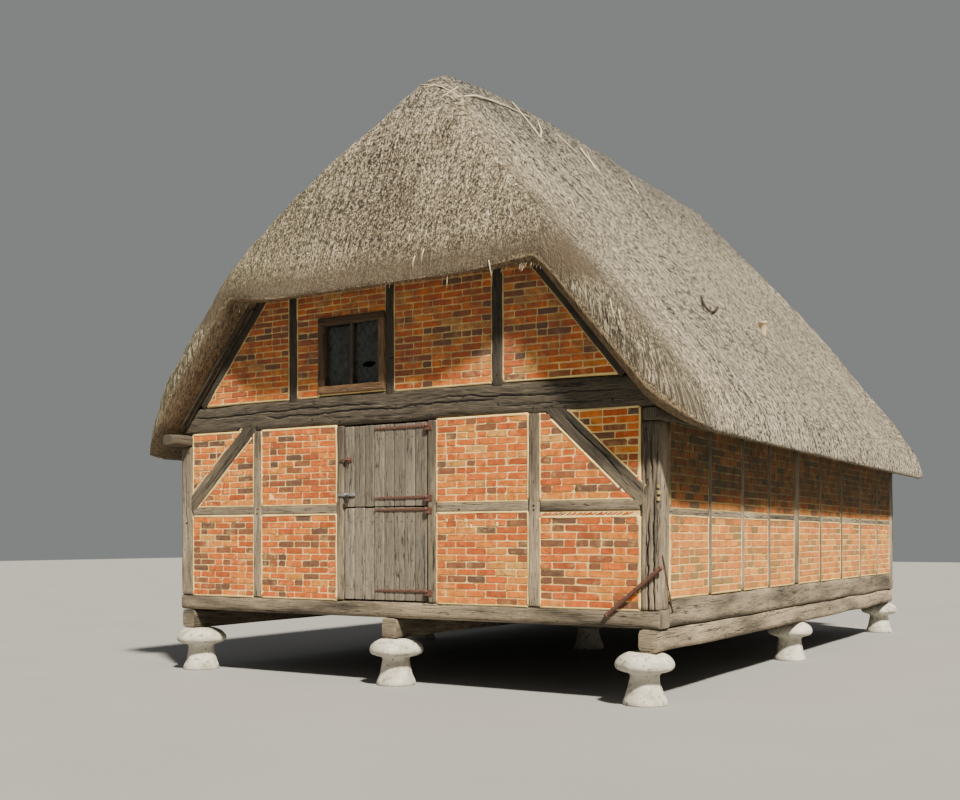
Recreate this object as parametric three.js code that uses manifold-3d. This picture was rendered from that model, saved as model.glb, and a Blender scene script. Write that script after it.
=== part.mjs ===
// A timber-framed brick granary with a half-hipped thatched roof, raised on mushroom-shaped stones.
// Millimetres, +Z up. The door is in the gable wall that faces -Y. The origin is the middle of the
// building's outline, at ground level.
import * as THREE from "three";
import { mergeVertices } from "three/addons/utils/BufferGeometryUtils.js";
import Module from "manifold-3d";

const wasm = await Module();
wasm.setup();

// The building
const WIDTH = 5900;
const DEPTH = 9300;
const SEAT = 0.3; // gap between pieces that rest on each other
const LAP = 10; // how far the parts of one piece reach into each other
const HALF_W = WIDTH / 2;
const HALF_D = DEPTH / 2;

// Heights above the ground
const STONE_TOP = 470;
const BEARER_TOP = 680;
const FLOOR_TOP = 850;
const SIDE_SILL_TOP = 950;
const FRONT_RAIL = [1730, 1840];
const SIDE_RAIL = [1690, 1760];
const PLATE_BOTTOM = 2520;
const TIE_BOTTOM = 2650;
const TIE_TOP = 2950;
const TIE_CAMBER = 30;
const LOFT_FLOOR = [TIE_TOP + TIE_CAMBER + SEAT, TIE_TOP + TIE_CAMBER + 30];

// Timbers
const POST_WIDE = 190;
const POST_DEEP = 260;
const STUD_DEEP = 100; // how far studs, rails and braces reach into the wall
const JAMB_DEEP = 140;
const MAIN_POST_WIDE = 200;
const PLATE_WIDE = 170;
const PLATE_REACH = 280; // the plates' ends stand this far out of the gable walls
const TIE_DEEP = 200;
const BRACE_WIDE = 188;
const BRACE_HEAD_X = 1930;
const BRACE_FOOT_Z = 1880;
const BRACE_PAST = 200; // braces are drawn longer than their bay and trimmed to it
const BAY_DEPTH = [-1, 200];
const BEARER_WIDE = 200;
const BEARER_INSET = 10; // behind the faces of the walls
const JOIST_WIDE = 90;

// Brick panels: their face lies behind the timbers' face, and a plastered skin passes behind the studs
const BRICK_FACE = 12;
const WALL_BACK = 140;

// Roof
const PITCH = 1.2; // rise for each unit of run
const RAFTER_APEX = 6195; // where the rafters' upper faces would meet
const RAFTER_FALL = 180; // a rafter's depth, measured straight down
const THATCH_APEX = 6745;
const EAVE_X = 3400;
const EAVE_UNDER = 2360;
const SLOPE_BULGE = 120; // the slopes are fullest half way down
const RIDGE_ROUND = 300;
const RIDGE_ROLL = 70; // extra height along the ridge, and how far down the slopes it reaches
const RIDGE_ROLL_WIDE = 700;
const RIDGE_RISE = 0.025; // the ridge climbs gently towards the back
const RIDGE_DROOP = 0.00002; // and droops towards the front, from DROOP_FROM on
const DROOP_FROM = -1050;
const RIDGE_FADE = 3000; // rise and droop fade out this far from the ridge
const HIP_END_Y = 5050;
const HIP_Z = 4150;
const HIP_PITCH = 1.98;
const HIP_BULGE = 200;
const HIP_BULGE_RUN = 1500;
const HIP_DEEP = 700;
const ARRIS_ROUND = 120; // where slope and hip meet: sharp low down, rounder near the ridge
const PEAK_ROUND = 600;
const LIP_UNDER = 3920;
const LIP_RISE = 0.35; // the lip's underside rises towards the wall
const COLLAR = [4090, 4225];
const VERGE_REACH = 330;
const LIP_EXTRA = 120;
const CORNER_CUT = 280; // the eaves' corners are rounded in plan
const EDGE_REACH = 180; // the coat's edges are rounded over this width

// Doorway and gable window
const DOOR_X = [-580, 470];
const LEAF_X = [-572, 465];
const LEAF_SPLIT = [1798, 1808];
const LEAF_Z = [860, 2640];
const LEAF_FACE = 5; // the boards' face lies this far behind the wall's face
const BOARD_THICK = 28;
const LEDGE_THICK = 30;
const HINGE_X = 470;
const HINGE_OUT = 18; // the hinge line lies in front of the wall's face
const WINDOW_X = [-915, -43];
const WINDOW_Z = [2990, 3790];
const WINDOW_MEMBER = 85;

// Plain solids and booleans

function solid(geometry) {
  const bare = geometry.clone();
  bare.deleteAttribute("normal");
  bare.deleteAttribute("uv");
  const merged = mergeVertices(bare, 1e-3);
  return new wasm.Manifold(
    new wasm.Mesh({
      numProp: 3,
      vertProperties: merged.attributes.position.array,
      triVerts: new Uint32Array(merged.index.array),
    }),
  );
}

function box([x0, x1], [y0, y1], [z0, z1], grow = 0) {
  const g = new THREE.BoxGeometry(
    x1 - x0 + 2 * grow,
    y1 - y0 + 2 * grow,
    z1 - z0 + 2 * grow,
  );
  g.translate((x0 + x1) / 2, (y0 + y1) / 2, (z0 + z1) / 2);
  return solid(g);
}

// A flat outline in x and z, carried straight back from depth y0 to y1.
function slab(outline, [y0, y1]) {
  const shape = new THREE.Shape(
    outline.map(([x, z]) => new THREE.Vector2(x, z)),
  );
  const g = new THREE.ExtrudeGeometry(shape, {
    depth: y1 - y0,
    bevelEnabled: false,
  });
  g.rotateX(Math.PI / 2);
  g.translate(0, y1, 0);
  return solid(g);
}

// A straight timber between two points of a wall, width across its length.
function strut([x0, z0], [x1, z1], width, depth, grow = 0) {
  const length = Math.hypot(x1 - x0, z1 - z0);
  const [ax, az] = [(x1 - x0) / length, (z1 - z0) / length];
  const half = width / 2 + grow;
  const corner = (x, z, along, side) => [
    x + ax * grow * along - az * half * side,
    z + az * grow * along + ax * half * side,
  ];
  return slab(
    [
      corner(x0, z0, -1, -1),
      corner(x1, z1, 1, -1),
      corner(x1, z1, 1, 1),
      corner(x0, z0, -1, 1),
    ],
    [depth[0] - grow, depth[1] + grow],
  );
}

function rod(from, to, radius, sides = 12) {
  const a = new THREE.Vector3(...from);
  const along = new THREE.Vector3(...to).sub(a);
  const g = new THREE.CylinderGeometry(radius, radius, along.length(), sides);
  const turn = new THREE.Quaternion().setFromUnitVectors(
    new THREE.Vector3(0, 1, 0),
    along.clone().normalize(),
  );
  g.applyQuaternion(turn);
  const middle = a.addScaledVector(along, 0.5);
  g.translate(middle.x, middle.y, middle.z);
  return solid(g);
}

function lathe(profile, sides) {
  const g = new THREE.LatheGeometry(
    profile.map(([r, z]) => new THREE.Vector2(r, z)),
    sides,
  );
  g.rotateX(Math.PI / 2);
  return solid(g);
}

const join = (pieces) => pieces.reduce((a, b) => a.add(b));
const cut = (piece, tools) => tools.reduce((a, b) => a.subtract(b), piece);

// Finishes

const finish = (color, roughness, metalness = 0) =>
  new THREE.MeshStandardMaterial({ color, roughness, metalness });
const THATCH = finish(0x8f8371, 1);
const OLD_OAK = finish(0x4b423a, 0.9);
const BRICK = finish(0xb9603a, 0.9);
const DOOR_BOARDS = finish(0x6f675f, 0.9);
const NEW_OAK = finish(0x8a6a4a, 0.8);
const GLASS = finish(0x2a2e2c, 0.2);
const RUSTY_IRON = finish(0x5a3626, 0.8, 0.6);
const GALVANISED = finish(0x9a9c9b, 0.5, 0.9);
const STONE = finish(0xcfc8b8, 0.9);
const FLOOR_BOARDS = finish(0x7a6f60, 0.9);

const granary = new THREE.Group();

// Adds a solid as a named mesh of a group.
function add(group, name, piece, material) {
  const mesh = piece.getMesh();
  const g = new THREE.BufferGeometry();
  g.setAttribute(
    "position",
    new THREE.BufferAttribute(mesh.vertProperties, 3),
  );
  g.setIndex(new THREE.BufferAttribute(mesh.triVerts, 1));
  const flat = g.toNonIndexed();
  flat.computeVertexNormals();
  const made = new THREE.Mesh(flat, material);
  made.name = name;
  group.add(made);
  return made;
}

// A wall's group: inside it x runs along the wall, y goes into it from its outer face, z is height.
function wallGroup(turn, distance) {
  const group = new THREE.Group();
  group.rotation.z = turn;
  group.position.set(distance * Math.sin(turn), -distance * Math.cos(turn), 0);
  granary.add(group);
  return group;
}

const frontWall = wallGroup(0, HALF_D);
const rightWall = wallGroup(Math.PI / 2, HALF_W);
const backWall = wallGroup(Math.PI, HALF_D);
const leftWall = wallGroup(-Math.PI / 2, HALF_W);

// Mushroom stones, the bearers on them and the sills on the bearers

const BEARER_X = HALF_W - BEARER_INSET - BEARER_WIDE / 2;
const STONE_ROWS = { front: -4520, middle: -200, back: 4520 };
const STONE_INSET = 80; // the outer stones stand inwards of their bearers' middle
const LINES = { left: -1, centre: 0, right: 1 };
const STONE_SIDES = 20;
const STONE_PROFILE = [
  [0, 0],
  [205, 0],
  [170, 110],
  [140, 262],
  [168, 286],
  [262, 312],
  [278, 350],
  [266, 396],
  [215, 446],
  [140, STONE_TOP - SEAT],
  [0, STONE_TOP - SEAT],
];

for (const [line, side] of Object.entries(LINES)) {
  const x = side * BEARER_X;
  for (const [row, y] of Object.entries(STONE_ROWS)) {
    const stone = add(
      granary,
      "staddle_stone_" + line + "_" + row,
      lathe(STONE_PROFILE, STONE_SIDES),
      STONE,
    );
    stone.position.set(x - side * STONE_INSET, y, 0);
  }
  const bearer = box(
    [x - BEARER_WIDE / 2, x + BEARER_WIDE / 2],
    [-HALF_D + BEARER_INSET, HALF_D - BEARER_INSET],
    [STONE_TOP, BEARER_TOP - SEAT],
  );
  add(granary, "bearer_" + line, bearer, OLD_OAK);
}

const END_SILL = box([-HALF_W, HALF_W], [0, POST_DEEP], [BEARER_TOP, FLOOR_TOP]);
add(frontWall, "front_sill", END_SILL, OLD_OAK);
add(backWall, "back_sill", END_SILL, OLD_OAK);
const SIDE_RUN = HALF_D - POST_DEEP - SEAT;
const SIDE_SILL = box(
  [-SIDE_RUN, SIDE_RUN],
  [0, POST_WIDE],
  [BEARER_TOP, SIDE_SILL_TOP],
);
add(leftWall, "left_sill", SIDE_SILL, OLD_OAK);
add(rightWall, "right_sill", SIDE_SILL, OLD_OAK);

// Corner posts, wall plates and tie beams

for (const [end, group] of [
  ["front", frontWall],
  ["back", backWall],
]) {
  for (const [name, side] of [
    ["left", end === "front" ? -1 : 1],
    ["right", end === "front" ? 1 : -1],
  ]) {
    const x = [side * HALF_W, side * (HALF_W - POST_WIDE)].sort((a, b) => a - b);
    const post = box(x, [0, POST_DEEP], [FLOOR_TOP + SEAT, PLATE_BOTTOM - SEAT]);
    add(group, end + "_" + name + "_corner_post", post, OLD_OAK);
  }
}

// Both plates stand out of the back gable, the left one out of the front gable too.
function plate(ends) {
  return box(ends, [0, PLATE_WIDE], [PLATE_BOTTOM, TIE_BOTTOM - SEAT]);
}
const PLATE_END = HALF_D + PLATE_REACH;
add(leftWall, "left_wall_plate", plate([-PLATE_END, PLATE_END]), OLD_OAK);
add(rightWall, "right_wall_plate", plate([-HALF_D, PLATE_END]), OLD_OAK);

// The roof's underside and top, as heights over a point of the plan

const rafterTop = (x) => RAFTER_APEX - PITCH * Math.abs(x);
const rafterUnder = (x) => rafterTop(x) - RAFTER_FALL;
const endRun = (y) => HIP_END_Y - Math.abs(y);
const within = (value, low, high) => Math.min(Math.max(value, low), high);

// Hips are planes that swell a little above the lip. run is the way in from the lip's end.
function hipAt(run) {
  const swell = Math.sin(Math.PI * within(run / HIP_BULGE_RUN, 0, 1));
  return HIP_Z + HIP_PITCH * run + HIP_BULGE * swell;
}

function hipUnder(y) {
  const run = endRun(y);
  const lip = LIP_UNDER + LIP_RISE * run;
  return Math.max(HIP_Z + HIP_PITCH * run - HIP_DEEP, lip);
}

// The lesser of two heights, with the crease between them rounded off.
function softMin(a, b, reach) {
  const near = Math.max(reach - Math.abs(a - b), 0) / reach;
  return Math.min(a, b) - (near * near * reach) / 4;
}

function slopeUnder(x) {
  const past = Math.abs(x) - HALF_W;
  if (past <= 0) return rafterTop(x);
  const fall = (rafterTop(HALF_W) - EAVE_UNDER) / (EAVE_X - HALF_W);
  return rafterTop(HALF_W) - fall * past;
}

function slopeTop(x, y) {
  const out = Math.abs(x);
  const roll = RIDGE_ROLL * Math.exp(-((x / RIDGE_ROLL_WIDE) ** 2));
  const droop = RIDGE_DROOP * Math.max(DROOP_FROM - y, 0) ** 2;
  const rise = (RIDGE_RISE * y - droop) * Math.max(0, 1 - out / RIDGE_FADE);
  const swell = SLOPE_BULGE * Math.sin(Math.PI * within(out / EAVE_X, 0, 1));
  const sides = softMin(THATCH_APEX - PITCH * x, THATCH_APEX + PITCH * x, RIDGE_ROUND);
  return sides + roll + rise + swell;
}

// Tie beams: cambered, with ends trimmed to the roof's slope

const tieSlopeX = (RAFTER_APEX - SEAT - TIE_TOP) / PITCH;
const tieTop = (x) => TIE_TOP + TIE_CAMBER * (1 - (x / tieSlopeX) ** 2);
const TIE_STEPS = [-0.8, -0.55, -0.25, 0, 0.25, 0.55, 0.8];
const TIE_OUTLINE = [
  [-HALF_W, TIE_BOTTOM],
  [HALF_W, TIE_BOTTOM],
  [HALF_W, rafterTop(HALF_W) - SEAT],
  [tieSlopeX, TIE_TOP],
  ...TIE_STEPS.map((s) => [-s * tieSlopeX, tieTop(s * tieSlopeX)]),
  [-tieSlopeX, TIE_TOP],
  [-HALF_W, rafterTop(HALF_W) - SEAT],
];
const MIDDLE_Y = -530;
add(frontWall, "front_tie_beam", slab(TIE_OUTLINE, [0, TIE_DEEP]), OLD_OAK);
add(backWall, "back_tie_beam", slab(TIE_OUTLINE, [0, TIE_DEEP]), OLD_OAK);
const middleTie = slab(TIE_OUTLINE, [
  MIDDLE_Y - TIE_DEEP / 2,
  MIDDLE_Y + TIE_DEEP / 2,
]);
add(granary, "middle_tie_beam", middleTie, OLD_OAK);

// Front and back walls below the tie beams

const STUD_DEPTH = [0, STUD_DEEP];
const WALL_LOW = FLOOR_TOP + SEAT;
const WALL_HIGH = TIE_BOTTOM - SEAT;
const POST_FACE = HALF_W - POST_WIDE - SEAT;

// A brace from the tie beam down to the corner post on one side, longer than its bay.
function brace(side, grow) {
  const head = [side * (BRACE_HEAD_X - BRACE_PAST), TIE_BOTTOM + BRACE_PAST];
  const foot = [side * (POST_FACE + BRACE_PAST), BRACE_FOOT_Z - BRACE_PAST];
  return strut(head, foot, BRACE_WIDE, STUD_DEPTH, grow);
}

// Timbers of one side of a gable wall. side is -1 for the left, 1 for the right.
function endTimbers(side, stud, jamb, grow) {
  const g = grow;
  const inner = side * POST_FACE;
  const low = Math.min(inner, jamb[0]);
  const high = Math.max(inner, jamb[1]);
  const bay = box([low - g, high + g], BAY_DEPTH, [WALL_LOW - g, WALL_HIGH + g]);
  return join([
    box(jamb, [0, JAMB_DEEP], [WALL_LOW, WALL_HIGH], g),
    box(stud, STUD_DEPTH, [WALL_LOW, WALL_HIGH], g),
    box([low, high], STUD_DEPTH, FRONT_RAIL, g),
    brace(side, g).intersect(bay),
  ]);
}

const FRONT_LEFT = [-1, [-1842, -1722], [-680, DOOR_X[0]]];
const FRONT_RIGHT = [1, [1620, 1750], [DOOR_X[1], 585]];
const BRICK_DEPTH = [BRICK_FACE, WALL_BACK];

for (const [name, side, stud, jamb] of [
  ["front_left", ...FRONT_LEFT],
  ["front_right", ...FRONT_RIGHT],
]) {
  add(frontWall, name + "_framing", endTimbers(side, stud, jamb, 0), OLD_OAK);
  const edge = side < 0 ? jamb[0] - SEAT : jamb[1] + SEAT;
  const span = [edge, side * (POST_FACE)].sort((a, b) => a - b);
  const panel = box(span, BRICK_DEPTH, [WALL_LOW, WALL_HIGH]);
  const timbers = endTimbers(side, stud, jamb, SEAT);
  add(frontWall, name + "_brickwork", panel.subtract(timbers), BRICK);
}

const BACK_STUDS = [-1782, -594, 594, 1782];
const BACK_STUD_WIDE = 120;

function backTimbers(grow) {
  const outer = [-POST_FACE, POST_FACE];
  const bay = box([outer[0] - grow, outer[1] + grow], BAY_DEPTH, [
    WALL_LOW - grow,
    WALL_HIGH + grow,
  ]);
  const braces = [-1, 1].map((side) => brace(side, grow).intersect(bay));
  const studs = BACK_STUDS.map((x) =>
    box(
      [x - BACK_STUD_WIDE / 2, x + BACK_STUD_WIDE / 2],
      STUD_DEPTH,
      [WALL_LOW, WALL_HIGH],
      grow,
    ),
  );
  return join([box(outer, STUD_DEPTH, FRONT_RAIL, grow), ...studs, ...braces]);
}

add(backWall, "back_framing", backTimbers(0), OLD_OAK);
const backPanel = box([-POST_FACE, POST_FACE], BRICK_DEPTH, [WALL_LOW, WALL_HIGH]);
add(backWall, "back_brickwork", backPanel.subtract(backTimbers(SEAT)), BRICK);

// Side walls. Distances are from the middle of the wall towards the back of the building.

const SIDE_STUDS = [-3390, -2440, -1570, 490, 1520, 2550, 3570];
const SIDE_STUD_WIDE = 84;
const SIDE_LOW = SIDE_SILL_TOP + SEAT;
const SIDE_HIGH = PLATE_BOTTOM - SEAT;

function sideTimbers(grow) {
  const uprights = SIDE_STUDS.map((y) =>
    box(
      [y - SIDE_STUD_WIDE / 2, y + SIDE_STUD_WIDE / 2],
      STUD_DEPTH,
      [SIDE_LOW, SIDE_HIGH],
      grow,
    ),
  );
  const mainPost = box(
    [MIDDLE_Y - MAIN_POST_WIDE / 2, MIDDLE_Y + MAIN_POST_WIDE / 2],
    [0, POST_WIDE],
    [SIDE_LOW, SIDE_HIGH],
    grow,
  );
  const rail = box([-SIDE_RUN, SIDE_RUN], STUD_DEPTH, SIDE_RAIL, grow);
  return join([rail, mainPost, ...uprights]);
}

// The main post passes right through the wall, so the brickwork is in two bays joined by a thin skin
// behind the post: the skin stays on the room's side of the post.
const SKIN_BACK = POST_WIDE + 25;
const SKIN_PAST = 40; // the skin reaches this far past the post on both sides

function sideBrickwork() {
  const wall = box([-SIDE_RUN, SIDE_RUN], BRICK_DEPTH, [SIDE_LOW, SIDE_HIGH]);
  const casing = box(
    [MIDDLE_Y - MAIN_POST_WIDE / 2 - SKIN_PAST, MIDDLE_Y + MAIN_POST_WIDE / 2 + SKIN_PAST],
    [BRICK_FACE, SKIN_BACK],
    [SIDE_LOW, SIDE_HIGH],
  );
  return wall.add(casing).subtract(sideTimbers(SEAT));
}

// On the left wall the wall's own x runs towards the front, so the pieces are turned end for end.
const turned = (piece) => piece.mirror([1, 0, 0]);
add(rightWall, "right_framing", sideTimbers(0), OLD_OAK);
add(leftWall, "left_framing", turned(sideTimbers(0)), OLD_OAK);
add(rightWall, "right_brickwork", sideBrickwork(), BRICK);
add(leftWall, "left_brickwork", turned(sideBrickwork()), BRICK);

// Gables: rafters, collar and studs in one frame, and the brickwork between them

const GABLE_STUDS = [
  [-1330, -1210],
  [-40, 70],
  [1220, 1350],
];
const GABLE_FOOT = TIE_TOP - 200; // the frame starts inside the tie beam and is trimmed to its top

function underSlope(z, fall) {
  return (RAFTER_APEX - SEAT - fall - z) / PITCH;
}

function gableOutline(low, high, fall) {
  const [wide, narrow] = [underSlope(low, fall), underSlope(high, fall)];
  return [
    [-wide, low],
    [wide, low],
    [narrow, high],
    [-narrow, high],
  ];
}

function gableFrame(grow, tie) {
  const depth = [-grow, STUD_DEEP + grow];
  const outside = slab(gableOutline(GABLE_FOOT, COLLAR[1] + grow, -grow), depth);
  const inside = slab(gableOutline(GABLE_FOOT - LAP, COLLAR[0] - grow, RAFTER_FALL + grow), [
    depth[0] - 1,
    depth[1] + 1,
  ]);
  const studs = GABLE_STUDS.map((x) =>
    box(x, STUD_DEPTH, [GABLE_FOOT, COLLAR[0] + LAP], grow),
  );
  return join([outside.subtract(inside), ...studs]).subtract(tie);
}

const tieGrown = slab(
  TIE_OUTLINE.map(([x, z]) => [x * 1.0002, z > TIE_BOTTOM ? z + SEAT : z - SEAT]),
  [-5, TIE_DEEP + SEAT],
);
const THROUGH = [-50, 300]; // cutters run past both faces of a wall
const WINDOW_HOLE = box(
  [WINDOW_X[0] - SEAT, WINDOW_X[1] + SEAT],
  THROUGH,
  [WINDOW_Z[0] - SEAT, WINDOW_Z[1] + SEAT],
);

function gableBrickwork(hole) {
  const outline = gableOutline(GABLE_FOOT, COLLAR[0] - SEAT, RAFTER_FALL + SEAT);
  const wall = slab(outline, BRICK_DEPTH);
  return cut(wall, [gableFrame(SEAT, tieGrown), tieGrown, ...hole]);
}

add(frontWall, "front_gable_frame", gableFrame(0, tieGrown), OLD_OAK);
add(backWall, "back_gable_frame", gableFrame(0, tieGrown), OLD_OAK);
add(frontWall, "front_gable_brickwork", gableBrickwork([WINDOW_HOLE]), BRICK);
add(backWall, "back_gable_brickwork", gableBrickwork([]), BRICK);

// The gable window: a frame with one mullion, and the panes behind it

const WINDOW_DEPTH = [-15, 85];
const PANE_DEPTH = [42, 46];
const MULLION = 40;
const lightX = [WINDOW_X[0] + WINDOW_MEMBER, WINDOW_X[1] - WINDOW_MEMBER];
const lightZ = [WINDOW_Z[0] + WINDOW_MEMBER, WINDOW_Z[1] - WINDOW_MEMBER];
const windowMiddle = (WINDOW_X[0] + WINDOW_X[1]) / 2;
const windowFrame = box(WINDOW_X, WINDOW_DEPTH, WINDOW_Z)
  .subtract(box(lightX, THROUGH, lightZ))
  .add(
    box(
      [windowMiddle - MULLION / 2, windowMiddle + MULLION / 2],
      [0, PANE_DEPTH[0] - SEAT],
      [lightZ[0] - LAP, lightZ[1] + LAP],
    ),
  );
add(frontWall, "window_frame", windowFrame, NEW_OAK);
add(frontWall, "window_panes", box(lightX, PANE_DEPTH, lightZ, -SEAT), GLASS);

// Floors: boards with their joists

const FLOOR_BOARD = 38;
const floorX = HALF_W - POST_WIDE - SEAT;
const floorY = HALF_D - POST_DEEP - SEAT;
const FLOOR_JOISTS = [-3, -2, -1, 0, 1, 2, 3].map((n) => n * 1300);
const floor = join([
  box([-floorX, floorX], [-floorY, floorY], [FLOOR_TOP - FLOOR_BOARD, FLOOR_TOP]),
  ...FLOOR_JOISTS.map((y) =>
    box(
      [-floorX, floorX],
      [y - JOIST_WIDE / 2, y + JOIST_WIDE / 2],
      [BEARER_TOP, FLOOR_TOP - LAP],
    ),
  ),
]);
add(granary, "floor", floor, FLOOR_BOARDS);

const loftX = underSlope(LOFT_FLOOR[1], RAFTER_FALL) - LAP;
const loftY = HALF_D - WALL_BACK - SEAT;
const LOFT_JOISTS = [-1900, -700, 700, 1900];
const LOFT_JOIST_DEEP = 120;
const JOIST_RUNS = [
  [-HALF_D + TIE_DEEP + SEAT, MIDDLE_Y - TIE_DEEP / 2 - SEAT],
  [MIDDLE_Y + TIE_DEEP / 2 + SEAT, HALF_D - TIE_DEEP - SEAT],
];
const loftFloor = join([
  box([-loftX, loftX], [-loftY, loftY], LOFT_FLOOR),
  ...LOFT_JOISTS.flatMap((x) =>
    JOIST_RUNS.map((run) =>
      box([x - JOIST_WIDE / 2, x + JOIST_WIDE / 2], run, [
        LOFT_FLOOR[0] - LOFT_JOIST_DEEP,
        LOFT_FLOOR[0] + LAP,
      ]),
    ),
  ),
]);
add(granary, "loft_floor", loftFloor, FLOOR_BOARDS);

// Rafters under the thatch, tied by a ridge board and purlins, with a hip rafter at each end

const RAFTER_WIDE = 100;
const RAFTER_ROWS = [-3, -2, -1, 0, 1, 2, 3].map((n) => n * 1200);
const PURLIN_X = [1700, 1820];
const RAFTER_OUTLINE = [
  [-underSlope(TIE_BOTTOM, 0), TIE_BOTTOM],
  [-underSlope(TIE_BOTTOM, RAFTER_FALL), TIE_BOTTOM],
  [0, rafterUnder(0)],
  [underSlope(TIE_BOTTOM, RAFTER_FALL), TIE_BOTTOM],
  [underSlope(TIE_BOTTOM, 0), TIE_BOTTOM],
  [0, RAFTER_APEX - SEAT],
];
const lastRow = RAFTER_ROWS[RAFTER_ROWS.length - 1];
const hipFootRun = HIP_END_Y - HALF_D + WALL_BACK + 20;
const hipFootTop = HIP_Z + HIP_PITCH * hipFootRun - HIP_DEEP - 2;
const hipHeadRun = HIP_END_Y - lastRow - RAFTER_WIDE / 2 - SEAT; // the heads meet the last rafters' faces
const HIP_RAFTER_DEEP = 218;
const HIP_HEAD = [500, 110]; // how far below the rafters' apex its edges end
const hipRafterOutline = [
  [hipFootRun, hipFootTop],
  [hipFootRun, hipFootTop - HIP_RAFTER_DEEP],
  [hipHeadRun, RAFTER_APEX - HIP_HEAD[0]],
  [hipHeadRun, RAFTER_APEX - HIP_HEAD[1]],
];
const PURLIN_DEEP = 130;
const RIDGE_BOARD_X = [-20, 20];
const RIDGE_BOARD_Z = [RAFTER_APEX - 300, RAFTER_APEX - 60];
const PURLIN_PAST = 100; // the purlins run past the last pair of rafters
const RIDGE_REACH = lastRow + RAFTER_WIDE / 2 + 40; // the ridge board ends inside the hip rafters' heads

// A hip rafter at the middle of an end, in the plane x = 0.
function hipRafter(end) {
  const outline = hipRafterOutline.map(([run, z]) => [
    end * (HIP_END_Y - run),
    z,
  ]);
  if (end > 0) outline.reverse();
  const g = new THREE.ExtrudeGeometry(
    new THREE.Shape(outline.map(([y, z]) => new THREE.Vector2(y, z))),
    { depth: RAFTER_WIDE, bevelEnabled: false },
  );
  g.rotateX(Math.PI / 2);
  g.rotateZ(Math.PI / 2);
  g.translate(-RAFTER_WIDE / 2, 0, 0);
  return solid(g);
}

const ridgeBoard = (grow) =>
  box(RIDGE_BOARD_X, [-RIDGE_REACH, RIDGE_REACH], RIDGE_BOARD_Z, grow);

// The ridge board lies in notches under the rafters' heads
const purlinTop = rafterUnder(PURLIN_X[0]) + LAP;
const rafters = join([
  ...RAFTER_ROWS.map((y) =>
    slab(RAFTER_OUTLINE, [y - RAFTER_WIDE / 2, y + RAFTER_WIDE / 2]),
  ),
  ...[-1, 1].map((side) =>
    box(
      [side * PURLIN_X[0], side * PURLIN_X[1]].sort((a, b) => a - b),
      [-lastRow - PURLIN_PAST, lastRow + PURLIN_PAST],
      [purlinTop - PURLIN_DEEP, purlinTop],
    ),
  ),
]).subtract(ridgeBoard(SEAT));
const ridge = join([ridgeBoard(0), hipRafter(-1), hipRafter(1)]);
add(granary, "rafters_and_purlins", rafters, OLD_OAK);
add(granary, "ridge_and_hip_rafters", ridge, OLD_OAK);

// Thatch: one coat over the plan, split along the ridge

const HALF_XS = [0, 220, 480, 800, 1150, 1500, 1850, 2200, 2600, HALF_W, 3180, 3320, EAVE_X];
const EDGE_ROWS = [0, 30, 80, EDGE_REACH];
const ARRIS_ROWS = [0.25, 0.5, 0.75, 0.92, 1];
const LONG_ROWS = [0.03, 0.12, 0.35, 0.7, 0.92];
const LEAST_ARRIS = 300;
const THINNEST = 60; // of the coat anywhere
const EDGE_DROP = 0.45; // share of the coat's thickness that its rounded edge loses at the top
const EDGE_LIFT = 0.22; // and at the underside

function overhang(x) {
  const inLip = within((1900 - Math.abs(x)) / 800, 0, 1);
  const inCorner = within((Math.abs(x) - 2800) / 600, 0, 1);
  const lip = inLip * inLip * (3 - 2 * inLip);
  return VERGE_REACH + LIP_EXTRA * lip - CORNER_CUT * inCorner ** 2;
}

// How far in from the outline's end the arris of the hip lies, found by repeated correction.
function arrisRun(x, end) {
  let run = 0;
  for (let i = 0; i < 12; i++) {
    const swell = hipAt(run) - HIP_Z - HIP_PITCH * run;
    const y = end * (HIP_END_Y - run);
    run = Math.max((slopeTop(x, y) - swell - HIP_Z) / HIP_PITCH, 0);
  }
  return Math.max(run - HIP_END_Y + HALF_D + overhang(x), LEAST_ARRIS);
}

// The rows of grid points from an end of the roof to its middle, with one row on the arris.
function rowRuns(x, end) {
  const arris = arrisRun(x, end);
  const rest = HALF_D + overhang(x) - arris;
  return [
    ...EDGE_ROWS,
    ...ARRIS_ROWS.map((part) => EDGE_REACH + part * (arris - EDGE_REACH)),
    ...LONG_ROWS.map((part) => arris + part * rest),
  ];
}

function thatchHeights(x, y, toEdge) {
  let low = Math.min(slopeUnder(x), hipUnder(y));
  const round = ARRIS_ROUND + (PEAK_ROUND - ARRIS_ROUND) * Math.exp(-((x / RIDGE_ROLL_WIDE) ** 2));
  let high = softMin(slopeTop(x, y), hipAt(endRun(y)), round);
  const toEave = Math.max(EAVE_X - Math.abs(x), 0);
  const near = Math.min(1, Math.min(toEdge, toEave) / EDGE_REACH);
  const thick = Math.max(high - low, THINNEST);
  const fall = 1 - Math.sqrt(1 - (1 - near) ** 2);
  high = low + thick * (1 - EDGE_DROP * fall);
  low += thick * EDGE_LIFT * (1 - near);
  return [low, high];
}

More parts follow.
